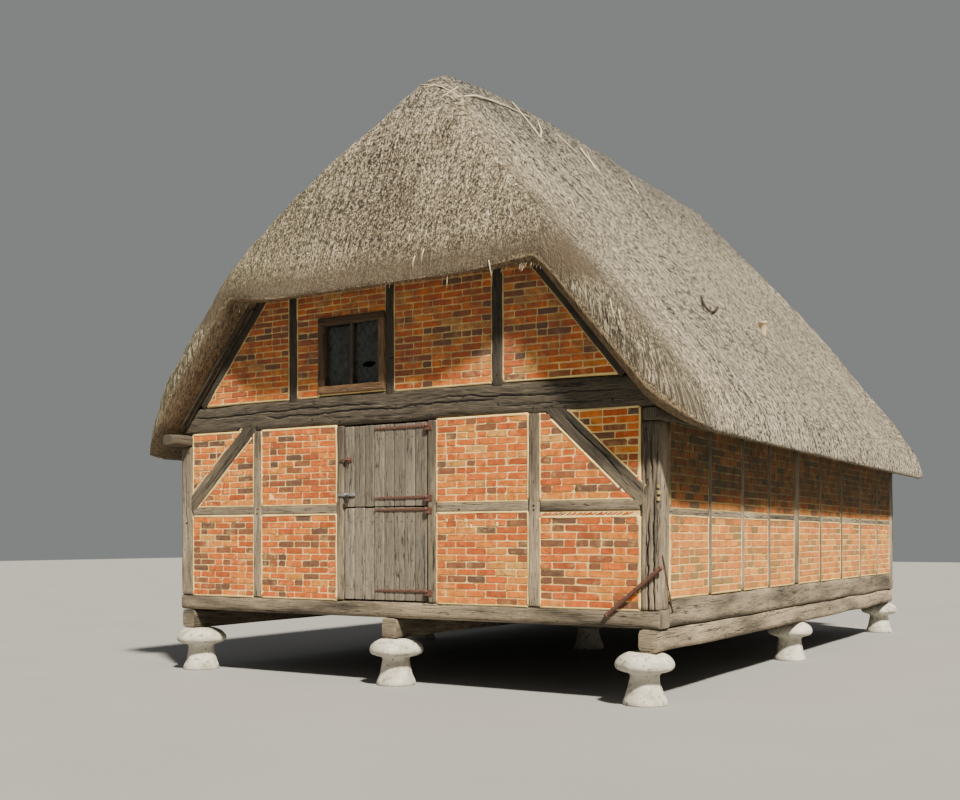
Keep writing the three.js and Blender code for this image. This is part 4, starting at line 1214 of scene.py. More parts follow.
def make_coat(side, front, back):
    """Half of the coat as rows of closed sections. Returns the grid of points, its outward normals, the
    share of hip, and the faces with their lay: along the ridge and down the slope, or across the hip and
    down it."""
    x_top, roll_top = across()
    x = np.concatenate([x_top, x_top[:-1:SHARE][::-1]])
    roll_x = np.concatenate([roll_top, roll_top[:-1:SHARE][::-1]])
    ring = len(x)
    is_top = np.arange(ring) < TOP_POINTS
    run = np.concatenate([runs(front), runs(back)[-2::-1]])
    end = np.concatenate([np.full(len(runs(front)), -1), np.full(len(runs(back)) - 1, 1)])
    x[0] = x[-1] = -SEAM_LAP
    x, run, end = side * x[None], run[:, None], end[:, None]
    wave = 0.02 * noise(np.stack(np.broadcast_arrays(x, 7.0 * end, 0), -1), 0.35, 31)
    fade = 1 - smooth(run / OVERHANG_FADE)
    y = end * (HALF_D + (overhang(x) + wave) * fade - run)
    roll_y = np.sqrt(1 - np.clip(1 - run / ROLL, 0, 1) ** 2)
    high = roof_top(x, y)
    low = np.minimum(slope_low(x), hip_low(y)) + 0.5 * wave * fade
    thick = np.maximum(high - low, LEAST_THICK)
    nose = np.where(run < ROLL, NOSE_AT_RIM, NOSE_WITHIN)
    middle = low + nose * thick
    closing = roll_x * roll_y
    z = middle + closing * np.where(is_top, high - middle, low - middle)
    points = np.stack(np.broadcast_arrays(x, y, z), -1)
    rows = len(run)

    along_ring = np.gradient(points[:, :TOP_POINTS], axis=1)
    along_rows = np.gradient(points, axis=0)
    under = np.gradient(points[:, TOP_POINTS - 1 :], axis=1)
    along_ring = np.concatenate([along_ring, under[:, 1:]], 1)
    normal = side * np.cross(along_ring, along_rows)
    normal /= np.linalg.norm(normal, axis=-1, keepdims=True) + 1e-12
    normal[:, 0, 0] = 0
    hip = np.where(is_top, hip_share(x, y), (hip_low(y) < slope_low(x)) * 1.0)
    lumps = 0.018 * noise(points, 0.45, 41) + 0.008 * noise(points, 0.16, 43)
    combed = np.where(hip[..., None] > 0.5, (0.035, 0.2, 0.2), (0.2, 0.035, 0.2))
    tufts = 0.006 * noise(points / combed, 1.0, 47) + 0.003 * noise(points / combed * 1.9, 1.0, 53)
    shaken = np.where(is_top, lumps + tufts, 0.4 * tufts) * (0.35 + 0.65 * closing)
    points = points + normal * shaken[..., None]

    ring_arc = np.cumsum(np.linalg.norm(np.diff(points, axis=1, append=points[:, :1]), axis=-1), 1)
    row_arc = np.cumsum(np.linalg.norm(np.diff(points, axis=0, prepend=points[:1]), axis=-1), 0)
    faces = grid_faces(rows, ring, closed=True)
    flat = points.reshape(-1, 3)
    on_hip = hip.reshape(-1)[faces].mean(1)[:, None] > 0.5
    across_hip = np.stack([flat[faces][..., 0], row_arc.reshape(-1)[faces]], -1)
    down_slope = np.stack([flat[faces][..., 1] + 50, ring_arc.reshape(-1)[faces]], -1)
    lay = np.where(on_hip[..., None], across_hip, down_slope)
    seam = np.arange(len(faces)) % ring == ring - 1
    parts = [(faces[~seam], lay[~seam], True), (faces[seam], lay[seam], False)]
    for row, flip in ((0, False), (rows - 1, True)):
        for block in end_blocks():
            block = block[:, ::-1] if flip else block
            parts.append((block + row * ring, flat[block + row * ring][..., [0, 2]], False))
    if side < 0:
        parts = [(faces[:, ::-1], uv[:, ::-1], is_round) for faces, uv, is_round in parts]
    soffit = np.broadcast_to(np.where(is_top, 0.0, 1.0), points.shape[:2]).ravel()
    return points, normal, hip, parts, {"soffit": soffit}


def end_blocks():
    """Faces that close the first row: each joins two neighbours of the underside to the points above."""
    j = np.arange(LOW_POINTS - 1)[:, None]
    low = TOP_POINTS + LOW_POINTS - 1 - j
    above = SHARE * (j + 1) - np.arange(SHARE + 1)[None]
    last = TOP_POINTS - 1 - np.arange(SHARE + 1)[None]
    return [np.concatenate([low, low - 1, above], 1), np.concatenate([[[TOP_POINTS]], last], 1)]


print("a section has", len(across()[0]), "points on its upper side")

# %% [markdown]
# ### Old straw
#
# A thatcher leaves the cut ends of the straws outside, so the coat is a skin of flecks a centimetre wide.
# Stretched noises make them, in the lay coordinates, which run down the slope or down the hip. Moss on the
# shaded side and the grey of the ridge are one node group, because the loose straws need them too.

# %% Weather group
WEATHER_INPUTS = [("Place", "Vector", None), ("Cloud", "Float", 0.5), ("Color", "Color", None)]
WEATHER_INPUTS += [("Moss", "Float", 0.4), ("Moss Color", "Color", None)]
WEATHER_INPUTS += [("Ridge", "Float", 0.5), ("Ridge Color", "Color", None), ("Ridge From", "Float", 6.0)]
weather_tree, weather_in, weather_out = new_group("weather", WEATHER_INPUTS, [("Color", "Color")])
graph = Graph(weather_tree)
axes = graph.axes(weather_in["Place"])
moss = graph.times(graph.span(axes["X"], -0.4, -1.9), graph.span(weather_in["Cloud"], 0.38, 0.6, 0.35, 1.0))
color = graph.mix(graph.times(moss, weather_in["Moss"]), weather_in["Color"], weather_in["Moss Color"])
ridge = graph.span(axes["Z"], weather_in["Ridge From"], 6.75, 0.0, weather_in["Ridge"])
graph.feed(weather_out["Color"], graph.mix(ridge, color, weather_in["Ridge Color"]))
print("weather group has", len(weather_tree.nodes), "nodes")


# %% Thatch material
def flecks(graph, lay, wide, long):
    """Flecks of straw: the sum of four stretched noises, each less its mean, with 0.5 added."""
    layers = [
        (1 / wide, 1 / long, 3.0, 0.65, 1.2),
        (1 / (wide * 0.45), 0.6 / long, 2.0, 0.6, 0.6),
        (0.38 / wide, 0.38 / long, 2.0, 0.6, 0.8),
        (0.2 / wide, 0.03 / long, 4.0, 0.7, 0.5),
    ]
    value = 0.5 - sum(layer[-1] for layer in layers) / 2
    for over, down, detail, roughness, share in layers:
        part = graph.noise(graph.stretch(lay, (over, down, 1)), 1.0, detail, roughness)
        value = graph.plus(graph.times(part, share), value)
    return value


COAT_TONES = [
    (0.37, (0.015, 0.011, 0.007)),
    (0.46, (0.080, 0.062, 0.038)),
    (0.54, (0.22, 0.175, 0.112)),
    (0.64, (0.52, 0.43, 0.285)),
    (0.82, (0.95, 0.84, 0.64)),
]
thatch_straw, graph, shader = new_material("thatch")
place = graph.object_place()
axes = graph.axes(place)
small, bunches = (flecks(graph, graph.uv("lay"), *size) for size in ((0.010, 0.022), (0.017, 0.034)))
far_share = graph.span(axes["Y"], -4.8, -3.4)
value = graph.plus(small, graph.times(graph.math("SUBTRACT", bunches, small), far_share))
gain = graph.span(axes["Y"], -4.8, -3.4, 1.0, 4.2)
# Painted sunlight: away from the gable the right slope, which faces the sun, is made lighter.
sunny = graph.times(far_share, graph.span(axes["X"], 0.3, 1.2, 0.0, 0.13))
value = graph.plus(graph.times(graph.math("SUBTRACT", value, 0.5), gain), graph.plus(sunny, 0.5))
cloud = graph.noise(place, 0.9, 4.0, 0.6)
bands = graph.noise(graph.stretch(place, (0.45, 2.6, 0.45)), 1.0, 4.0, 0.6)
for part, share in ((cloud, 0.26), (bands, 0.22)):
    value = graph.plus(value, graph.times(graph.math("SUBTRACT", part, 0.5), share))
color = graph.ramp(value, COAT_TONES)
# Painted sunlight: the right slope turns a little paler.
pale = graph.times(graph.span(axes["X"], 0.9, 2.2), graph.span(axes["Y"], -5.0, -4.0, 0.4, 1.0))
color = graph.mix(graph.times(pale, 0.08), color, (0.76, 0.67, 0.52, 1))
# Painted shade: near the front gable the right slope's rounded verge is darkened, mottled by the cloud.
verge = graph.times(graph.span(axes["Y"], -4.3, -4.9), graph.span(axes["X"], 1.5, 2.0, 0.0, 0.9))
color = graph.mix(graph.times(verge, cloud), color, (0.06, 0.05, 0.03, 1))
weather = {"Moss": 0.45, "Moss Color": (0.13, 0.125, 0.055, 1)}
weather |= {"Ridge": 0.5, "Ridge Color": (0.17, 0.165, 0.15, 1), "Ridge From": 5.7}
color = graph.group(weather_tree, {"Place": place, "Cloud": cloud, "Color": color, **weather})["Color"]
under = graph.attribute("soffit")
brown = graph.ramp(value, [(0.35, (0.075, 0.050, 0.027)), (0.65, (0.36, 0.26, 0.145))])
color = graph.mix(under, color, brown)
# Painted shade: the lowest part of the lip over the gable, where it rolls under, is darkened to a dark brown.
lip = graph.times(graph.span(axes["Z"], 3.7, 3.85), graph.span(axes["Y"], -4.6, -4.9))
band = graph.times(graph.span(axes["Z"], 4.38, 4.10), graph.math("SUBTRACT", 1.0, under))
color = graph.mix(graph.times(graph.times(band, lip), 0.85), color, (0.10, 0.070, 0.040, 1))
dress(graph, shader, color, 0.95, value, 0.03, 1.0)
print("thatch material made")

# %% Both halves of the coat
FINE_REACH = 1.7  # from the gable's edge
FRONT_STEPS = {1: [(FINE_REACH, 0.0165), (HALF_D, 0.03)], -1: [(FINE_REACH, 0.020), (HALF_D, 0.04)]}
BACK_STEPS = [(FINE_REACH, 0.028), (HALF_D, 0.045)]
COATS = {}
for name, side in (("left", -1), ("right", 1)):
    points, normal, hip, parts, values = make_coat(side, FRONT_STEPS[side], BACK_STEPS)
    COATS[side] = points, normal, hip
    heap = Heap()
    heap.add(points, parts, **values)
    build(f"thatch_{name}_coat", heap, thatch_straw, replaced=["thatch_" + name])

# %% [markdown]
# ### Lime along the timbers
#
# The oak shrank away from the bricks, and the gaps were filled with cream lime, again and again. Each edge
# of a panel gets a ragged strip: a section with its back inside the wall is carried along the edge, and its
# width follows a noise.


# %% Lime strips
LIME_DEPTHS = 0.03, 0.0125  # of a strip's back, and of its thin edge on the bricks
LIME_AROUND = np.array([0, 0.018, 0.025, 0.04, 0.055, 0.08, 0.12])
LIME_TUCK = 0.012  # how far a strip reaches behind the timber


def lime_strip(heap, wall, start, end, wide, step):
    """Lime to the left of the way from start to end, given as (along, up). Its width is wide times one plus
    two noises; it is proudest beside the timber and feathers out over the bricks."""
    start, end = np.array(start, float), np.array(end, float)
    length = np.linalg.norm(end - start)
    way = (end - start) / length
    left = np.array([-way[1], way[0]])
    rows = max(int(length / step), 3)
    s = np.linspace(0, length, rows)
    line = np.stack([s + 3.1 * start[0], 0 * s + start[1], 0 * s + left[0]], -1)
    size = wide * (1.1 + 0.9 * noise(line, 0.21, 61) + 0.5 * noise(line, 0.05, 62)).clip(0.08)
    size, none = size[:, None], 0 * size[:, None]
    face = (0.0055 + 0.0015 * noise(line, 0.08, 63))[:, None]
    back, edge = (none + depth for depth in LIME_DEPTHS)
    shift = np.concatenate([size, size, size * 0.75, size * 0.3, none - LIME_TUCK, none - LIME_TUCK], 1)
    depth = np.concatenate([back, edge, face + 0.0005, face, face, back], 1)
    place = start + s[:, None, None] * way + shift[..., None] * left
    points = on_wall(wall, np.stack([place[..., 0], depth, place[..., 1]], -1))
    heap.add(*tube(points, LIME_AROUND, s))


def brace_edge(side, above):
    """An edge of a brace, from its foot to its head, as two places (along, up)."""
    head, foot = (np.array(p) for p in brace_line(side))
    way = (head - foot) / np.linalg.norm(head - foot)
    across_it = np.array([-way[1], way[0]]) * BRACE_WIDE / 2
    if (across_it[1] > 0) != above:
        across_it = -across_it
    return foot + across_it, head + across_it


def rim_of_panel(heap, wall, low, high, left, right, wide, step):
    """Strips along the upright edges of a panel, and thin ones under and over its rails."""
    if not callable(left):
        lime_strip(heap, wall, (left, high), (left, low), wide[0], step)
    if not callable(right):
        lime_strip(heap, wall, (right, low), (right, high), wide[1], step)
    a, b = (edge(low) if callable(edge) else edge for edge in (left, right))
    c, d = (edge(high) if callable(edge) else edge for edge in (left, right))
    if b - a > SHORT_EDGE:
        lime_strip(heap, wall, (a, low), (b, low), 0.005, step)
    if d - c > SHORT_EDGE:
        lime_strip(heap, wall, (d, high), (c, high), 0.009, step)


SHORT_EDGE = 0.2  # a shorter edge of a panel gets no strip
STRIP_STEPS = {"front": 0.035, "right": 0.06, "back": 0.12, "left": 0.12}
# The widest strips stand left of these timbers of the front, and behind the front post of the right wall.
WIDE_STRIPS = {POST_FACE: 0.020, JAMBS[0][0]: 0.014, FRONT_STUDS[1][0]: 0.010}
for wall, panels in ALL_PANELS.items():
    heap = Heap()
    step = STRIP_STEPS[wall]
    for low, high, left, right in panels:
        wide = (0.006, WIDE_STRIPS.get(right, 0.007) if wall == "front" else 0.007)
        if wall == "right" and left == -SIDE_REACH:
            wide = (0.035, 0.007)
        rim_of_panel(heap, wall, low, high, left, right, wide, step)
    if wall in ("front", "back"):
        for side in (-1, 1):
            for above in (False, True):
                foot, head = brace_edge(side, above)
                way = (head, foot) if (side > 0) == above else (foot, head)
                lime_strip(heap, wall, *way, 0.004 if above else 0.009, step)
            way = on_slope(side, GABLE_FOOT, COLLAR[0], RAFTER_FALL)[::side]
            lime_strip(heap, wall, *way, 0.006, step)
    build(wall + "_lime", heap, lime_mortar)

# %% [markdown]
# ## Door, window, iron and stones
#
# The small pieces are made of four shapes: the squared log again, for boards and flat bars; a round rod
# along a path; a hoop, which is a section turned about an upright line; and little domes for nail heads.


# %% Small shapes
def rod(path, radius, sides=8, step=None):
    """A round rod through the points of a path. Its frame is turned from the path's own direction: a and b
    are square to the way, and the ring is path + radius (a cos t + b sin t)."""
    path = np.array(path, float)
    if step:
        s = np.concatenate([[0], np.cumsum(np.linalg.norm(np.diff(path, axis=0), axis=1))])
        even = np.linspace(0, s[-1], max(int(s[-1] / step), 2))
        path = np.stack([np.interp(even, s, path[:, i]) for i in range(3)], 1)
    way = np.gradient(path, axis=0)
    way /= np.linalg.norm(way, axis=1, keepdims=True)
    helper = np.eye(3)[np.argmin(np.abs(path[-1] - path[0]))]
    a = np.cross(way, helper)
    a /= np.linalg.norm(a, axis=1, keepdims=True)
    b = np.cross(way, a)
    radius = np.broadcast_to(radius, (len(path),))[:, None, None]
    turn = np.linspace(0, 2 * np.pi, sides, endpoint=False)[:, None]
    points = path[:, None] + radius * (np.cos(turn) * a[:, None] + np.sin(turn) * b[:, None])
    s = np.concatenate([[0], np.cumsum(np.linalg.norm(np.diff(path, axis=0), axis=1))])
    shift = random.uniform(0, 50)
    around = np.linspace(0, 2 * np.pi * float(radius.mean()), sides + 1) + shift
    return (*tube(points, around, s + shift), {"tint": random.uniform(), "dark": 0.0})


def hoop(middle, section, turns=24):
    """A closed section of (radius, height) points turned about the upright line through middle."""
    section = np.array(section, float)
    turn = np.linspace(0, 2 * np.pi, turns, endpoint=False)[:, None]
    r, z = section[:, 0], section[:, 1] + 0 * turn
    points = np.stack([r * np.cos(turn), r * np.sin(turn), z], -1) + np.array(middle)
    faces = grid_faces(turns + 1, len(section), closed=True) % (turns * len(section))
    flat = points.reshape(-1, 3)
    return flat, [(faces, flat[faces][..., [0, 2]], True)], {"tint": 0.5, "dark": 0.0}


def nail_heads(heap, places, out, radius, high, sides=8):
    """Adds nail heads: a ring, a smaller ring half way up, and a cap. Their backs are inside the wood."""
    a = np.cross(out, (0.31, 0.17, 0.94))
    a /= np.linalg.norm(a)
    b = np.cross(out, a)
    turn = np.linspace(0, 2 * np.pi, sides, endpoint=False)[:, None]
    ring = np.cos(turn) * a + np.sin(turn) * b
    for place in places:
        size = radius * random.uniform(0.85, 1.15)
        rows = [(size, -0.003), (size, high * 0.4), (size * 0.6, high)]
        points = np.stack([place + ring * r + out * h for r, h in rows])
        heap.add(*tube(points, np.linspace(0, 6 * size, sides + 1), np.arange(3) * size), dark=0.0)


def plain_bar(start, end, wide, deep, out, **how):
    """A flat bar or a board: a squared log with little wear."""
    how = {"ring": 16, "step": 0.06, "wear": 0.35, **how}
    return timber(start, end, wide, deep, out, **how)


print("a hoop has", len(hoop((0, 0, 0), [(1, 0), (1.1, 0), (1.1, 0.1), (1, 0.1)])[0]), "points")

# %% [markdown]
# ### Iron, zinc, stone and glass
#
# On each of these a noise does two things at once: it picks the tone, and it lifts the surface, because rust
# and grime stand up from what they cover. The stone has lichen as well.


# %% Iron, zinc, stone and glass
def spotted(name, noise_of, tones, rough, relief, metal=0.0):
    """A hard material. noise_of is the noise's scale, detail and roughness; rough is one roughness, or the
    two that the dark and the light spots have; relief is the bump's distance and strength."""
    made, graph, shader = new_material(name)
    spots = graph.noise(graph.object_place(), *noise_of)
    if isinstance(rough, tuple):
        rough = graph.span(spots, 0.3, 0.7, *rough)
    dress(graph, shader, graph.ramp(spots, tones), rough, spots, *relief)
    shader.inputs["Metallic"].default_value = metal
    return made


RUST_TONES = [(0.3, (0.045, 0.022, 0.018)), (0.52, (0.13, 0.060, 0.042)), (0.7, (0.25, 0.115, 0.06))]
ZINC_TONES = [(0.3, (0.24, 0.25, 0.25)), (0.7, (0.52, 0.53, 0.53))]
STEEL_TONES = [(0.35, (0.025, 0.023, 0.022)), (0.7, (0.10, 0.085, 0.07))]
PANE_TONES = [(0.3, (0.010, 0.012, 0.010)), (0.7, (0.045, 0.050, 0.042))]
LEAD_TONES = [(0.0, (0.035, 0.037, 0.036)), (1.0, (0.085, 0.087, 0.083))]
CLAY_TONES = [(0.0, (0.34, 0.25, 0.13)), (1.0, (0.70, 0.56, 0.34))]
rusty_iron = spotted("rusty iron", (60.0, 5.0, 0.7), RUST_TONES, (0.55, 0.9), (0.004, 1.0), 0.25)
zinc = spotted("dull zinc", (90.0, 4.0, 0.6), ZINC_TONES, (0.35, 0.65), (0.001, 0.5), 0.8)
dark_steel = spotted("dark steel", (120.0, 4.0, 0.6), STEEL_TONES, 0.5, (0.001, 0.6), 0.6)
dusty_glass = spotted("dusty panes", (14.0, 5.0, 0.65), PANE_TONES, (0.12, 0.45), (0.0008, 0.4))
lead = spotted("lead", (80.0, 3.0), LEAD_TONES, 0.6, (0.001, 0.5))
flower_pot = spotted("clay pot", (30.0, 4.0), CLAY_TONES, 0.9, (0.002, 0.6))

limestone, graph, shader = new_material("limestone")
place = graph.object_place()
cloud = graph.noise(place, 6.0, 6.0, 0.65)
color = graph.ramp(cloud, [(0.3, (0.30, 0.27, 0.21)), (0.5, (0.56, 0.52, 0.43)), (0.7, (0.70, 0.66, 0.57))])
lichen = graph.span(graph.noise(place, 19.0, 3.0), 0.58, 0.66, 0.0, 0.7)
color = graph.mix(lichen, color, (0.20, 0.19, 0.12, 1))
grit = graph.plus(graph.noise(place, 150.0, 3.0, 0.7), graph.noise(place, 18.0, 4.0))
dress(graph, shader, color, 0.92, grit, 0.006, 0.9)
print("iron, zinc, steel, panes, lead, clay and stone made")

# %% [markdown]
# ### Stable door
#
# Each leaf is eight boards of unlike width, nailed to two ledges behind them. Every board is a log of its
# own, with its own crack and its own lower or higher top, and that is what makes a door look hand-made.

# %% Stable door
LEAF_X = (-0.572, 0.465)
LEAF_FACE, BOARD_THICK = 0.005, 0.028
BOARD_BACK = LEAF_FACE + BOARD_THICK
LEDGE_THICK, LEDGE_HIGH, LEDGE_AT = 0.03, 0.11, 0.12
BOARD_SHARES = np.cumsum([0, 0.128, 0.135, 0.12, 0.131, 0.118, 0.134, 0.127, 0.144])
BOARD_EDGES = LEAF_X[0] + BOARD_SHARES / BOARD_SHARES[-1] * (LEAF_X[1] - LEAF_X[0])
NAIL_PAIR = ((-0.025, 0.02), (0.03, -0.02))
FRONT_OUT = facing("front")


def door_leaf(name):
    """Boards side by side with ledges behind them, and two nails in every board at each ledge."""
    low, high = (corner.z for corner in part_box(name + "_door_leaf"))
    ledges = low + LEDGE_AT, high - LEDGE_AT
    heap = Heap()
    for left, right in zip(BOARD_EDGES[:-1], BOARD_EDGES[1:]):
        span = (left + 0.001, right - random.uniform(0.001, 0.003))
        depth = (LEAF_FACE + random.uniform(0, 0.003), BOARD_BACK)
        crack = (random.uniform(-0.7, 0.7), 0, random.uniform(0.3, 0.8), 0.002, 0.004, 0.004)
        how = {"ring": 28, "step": 0.04, "wear": 0.6, "cracks": [crack]}
        upright(heap, "front", span, low, high - random.uniform(0, 0.006), depth, **how)
    for z in ledges:
        depth = (BOARD_BACK - 0.002, BOARD_BACK + LEDGE_THICK)
        beam(heap, "front", (LEAF_X[0] + 0.07, z), (LEAF_X[1] - 0.03, z), LEDGE_HIGH, depth, wear=0.5)
    build(name + "_leaf_boards", heap, DOOR_WOOD, name + "_leaf", [name + "_door_leaf"])
    heap = Heap()
    middles = (BOARD_EDGES[1:] + BOARD_EDGES[:-1]) / 2
    nails = [(x + dx, LEAF_FACE, z + dz) for x in middles for z in ledges for dx, dz in NAIL_PAIR]
    nail_heads(heap, on_wall("front", nails), FRONT_OUT, 0.006, 0.003, 6)
    return heap


NAILS = {name: door_leaf(name) for name in ("upper", "lower")}

# %% [markdown]
# ### Strap hinges
#
# A strap is a flat bar that widens towards the hinge and ends in an eye. The eye turns on a pin of the frame,
# so it is a hoop about the joint's own axis, and the whole strap rides on its leaf.

# %% Strap hinges
HINGE_X, HINGE_OUT = 0.47, 0.018
STRAP_HIGH, STRAP_LONG, STRAP_THICK = 0.03, 0.64, 0.007
STRAP_DROP = 0.004  # how much lower the far end is
TIP_SIZE = 0.022
EYE, PIN_HOLE = 0.0148, 0.0087
STRAPS = {"upper": {"upper": 2.600, "lower": 1.895}, "lower": {"upper": 1.775, "lower": 0.960}}
BOLTS_AT = np.array([0.06, 0.2, 0.36, 0.52])  # from the hinge
for leaf, straps in STRAPS.items():
    heap = NAILS[leaf]
    for z in straps.values():
        middle, far = LEAF_FACE - STRAP_THICK / 2, HINGE_X - STRAP_LONG
        ends = on_wall("front", [(far, middle, z - STRAP_DROP), (HINGE_X - 0.012, middle, z)])
        how = {"ring": 16, "step": 0.05, "wear": 1.0, "ends": (0.45, 0.0), "taper": 1.25}
        put(heap, timber(*ends, STRAP_HIGH * 0.82, STRAP_THICK, FRONT_OUT, **how))
        tip = on_wall("front", (far + 0.01, middle, z - STRAP_DROP))
        tip_end = tip + (0.0001, 0, 0) + FRONT_OUT * 0.004
        put(heap, plain_bar(tip, tip_end, TIP_SIZE, TIP_SIZE, (0, 0, 1), ring=12))
        neck = on_wall("front", [(HINGE_X - 0.013, LEAF_FACE, z), (HINGE_X - 0.013, -HINGE_OUT, z)])
        put(heap, timber(*neck, STRAP_HIGH, 0.006, (-1, 0, 0), ring=12, wear=0.3))
        half = STRAP_HIGH / 2
        section = [(PIN_HOLE, -half), (EYE, -half), (EYE, half), (PIN_HOLE, half)]
        put(heap, hoop(on_wall("front", (HINGE_X, -HINGE_OUT, z)), section))
        bolts = [(x, LEAF_FACE - STRAP_THICK, z) for x in HINGE_X - BOLTS_AT]
        nail_heads(heap, on_wall("front", bolts), FRONT_OUT, 0.0075, 0.004)
    nodes = [f"{leaf}_leaf_{place}_strap_hinge" for place in straps]
    build(leaf + "_leaf_iron", heap, rusty_iron, leaf + "_leaf", nodes)
dress_nodes([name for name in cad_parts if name.endswith("_pintle")], rusty_iron)

# %% [markdown]
# ### Hasp, padlock and bolt
#
# The hasp is newer than the door and still grey with zinc. Places are (along, depth, up) on the front wall,
# with a depth below nought in front of its face.

# %% Hasp, padlock and bolt
HASP_Z, HASP_DEPTH = 1.935, -0.0085
KNUCKLE_X = -0.553
heap = Heap()
staple = on_wall("front", [(-0.640, HASP_DEPTH, HASP_Z), (-0.548, HASP_DEPTH, HASP_Z)])
put(heap, plain_bar(*staple, 0.03, 0.005, FRONT_OUT))
arm = on_wall("front", [(-0.558, -0.003, HASP_Z), (-0.430, -0.003, HASP_Z)])
put(heap, plain_bar(*arm, 0.034, 0.014, FRONT_OUT))
knuckle = on_wall("front", [(KNUCKLE_X, HASP_DEPTH, HASP_Z - 0.016), (KNUCKLE_X, HASP_DEPTH, HASP_Z + 0.016)])
put(heap, rod(knuckle, 0.0055, 10))
bolts = on_wall("front", [(x, -0.010, HASP_Z) for x in (-0.53, -0.46, -0.44)])
nail_heads(heap, bolts, FRONT_OUT, 0.006, 0.003)
build("hasp", heap, zinc, "upper_leaf", ["hasp_and_padlock"])

PADLOCK_X, PADLOCK_DEPTH = -0.525, -0.020
SHACKLE_DEPTH, SHACKLE_Z = -0.0175, 1.914
SHACKLE_HALF, SHACKLE_HIGH = 0.017, 0.014
heap = Heap()
body = on_wall("front", [(PADLOCK_X, PADLOCK_DEPTH, z) for z in (1.850, 1.896)])
put(heap, plain_bar(*body, 0.054, 0.020, FRONT_OUT, ring=24, step=0.01))
turn = np.linspace(0, np.pi, 9)
x = PADLOCK_X - SHACKLE_HALF * np.concatenate([[1], np.cos(turn), [-1]])
z = SHACKLE_Z + SHACKLE_HIGH * np.concatenate([[-1.5], np.sin(turn), [-1.5]])
put(heap, rod(on_wall("front", np.stack([x, np.full(len(x), SHACKLE_DEPTH), z], 1)), 0.0038, 8))
build("padlock", heap, dark_steel, "upper_leaf")

BOLT_Z, BOLT_DEPTH = 2.295, -0.011
HANDLE = [(-0.495, BOLT_DEPTH, BOLT_Z), (-0.495, -0.017, BOLT_Z - 0.015), (-0.495, -0.018, BOLT_Z - 0.033)]
KEEPER = [(0.0, -0.016), (-0.018, -0.012), (-0.018, 0.012), (0.0, 0.016)]  # depth and height
heap = Heap()
plate = on_wall("front", [(-0.565, 0.001, BOLT_Z), (-0.470, 0.001, BOLT_Z)])
put(heap, plain_bar(*plate, 0.045, 0.008, FRONT_OUT))
put(heap, rod(on_wall("front", [(-0.615, BOLT_DEPTH, BOLT_Z), (-0.480, BOLT_DEPTH, BOLT_Z)]), 0.0065, 10))
put(heap, rod(on_wall("front", HANDLE), 0.004, 8))
for x in (-0.545, -0.515):
    put(heap, rod(on_wall("front", [(x, depth, BOLT_Z + up) for depth, up in KEEPER]), 0.003, 6))
build("bolt", heap, rusty_iron, "upper_leaf", ["slide_bolt"])

# %% [markdown]
# ### Gable window
#
# An oak frame holds two small lights of leaded panes. In the right one a pane is broken: its sheet is a band
# between the ragged hole and the light's rim, and the lead stops short of the hole.

# %% Gable window
MEMBER = 0.085
MULLION_X, MULLION_HALF = sum(WINDOW_X) / 2, 0.018
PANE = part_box("window_panes")
PANE_HIGH = PANE[1].z - PANE[0].z
PANE_DEPTH, PANE_THICK = PANE[0].y + HALF_D, 0.003
heap = Heap()
look = {"wear": 0.6, "ring": 28, "step": 0.05}
stile_z = WINDOW_Z[0] + MEMBER * 0.98, WINDOW_Z[1] - MEMBER * 0.02
for x, tint in ((WINDOW_X[0] + MEMBER / 2, 0.15), (WINDOW_X[1] - MEMBER / 2, 0.8)):
    ends = on_wall("front", [(x, 0.035, z) for z in stile_z])
    put(heap, timber(*ends, MEMBER, 0.1, FRONT_OUT, **look), tint=tint)
for z, tint in ((WINDOW_Z[0] + MEMBER / 2, 1.0), (WINDOW_Z[1] - MEMBER / 2, 0.0)):
    ends = on_wall("front", [(WINDOW_X[0] + 0.002, 0.034, z), (WINDOW_X[1] - 0.002, 0.034, z)])
    put(heap, timber(*ends, MEMBER, 0.102, FRONT_OUT, **look), tint=tint)
build("window_oak", heap, FRAME_WOOD, replaced=["window_frame"])

heap = Heap()
mullion = on_wall("front", [(MULLION_X, 0.021, PANE[0].z - 0.01), (MULLION_X, 0.021, PANE[1].z + 0.01)])
put(heap, timber(*mullion, 0.04, 0.041, FRONT_OUT, wear=0.8))
build("window_mullion", heap, OLD_OAK)

# %% Panes and lead
LATTICE, LATTICE_SLANT, LEAD_POINTS = 0.085, 1.35, 60
HOLE_X, HOLE_Z, HOLE_WIDE, HOLE_HIGH = -0.275, 3.27, 0.085, 0.03
RAYS = 72


def pane_with_hole():
    """The right light: a sheet with a ragged hole. The sheet is a band between the hole's edge and the
    light's rim, both as rays from the hole's middle."""
    left, right = MULLION_X + MULLION_HALF, PANE[1].x
    turn = np.linspace(0, 2 * np.pi, RAYS, endpoint=False)
    c, s = np.cos(turn), np.sin(turn)
    ragged = 1 + 0.35 * noise(np.stack([3 * c, 3 * s, 0 * turn], -1), 0.7, 71)
    hole = np.stack([HOLE_X + HOLE_WIDE * ragged * c, HOLE_Z + HOLE_HIGH * ragged * s], 1)
    with np.errstate(divide="ignore"):
        reach_x = np.where(c > 0, right - HOLE_X, left - HOLE_X) / c
        reach_z = np.where(s > 0, PANE[1].z - HOLE_Z, PANE[0].z - HOLE_Z) / s
    reach = np.minimum(np.abs(reach_x), np.abs(reach_z))
    rim = np.stack([HOLE_X + reach * c, HOLE_Z + reach * s], 1)
    back = PANE_DEPTH + PANE_THICK
    rows = [(hole, PANE_DEPTH), (rim, PANE_DEPTH), (rim, back), (hole, back)]
    return np.stack([np.stack([p[:, 0], np.full(RAYS, depth), p[:, 1]], -1) for p, depth in rows])


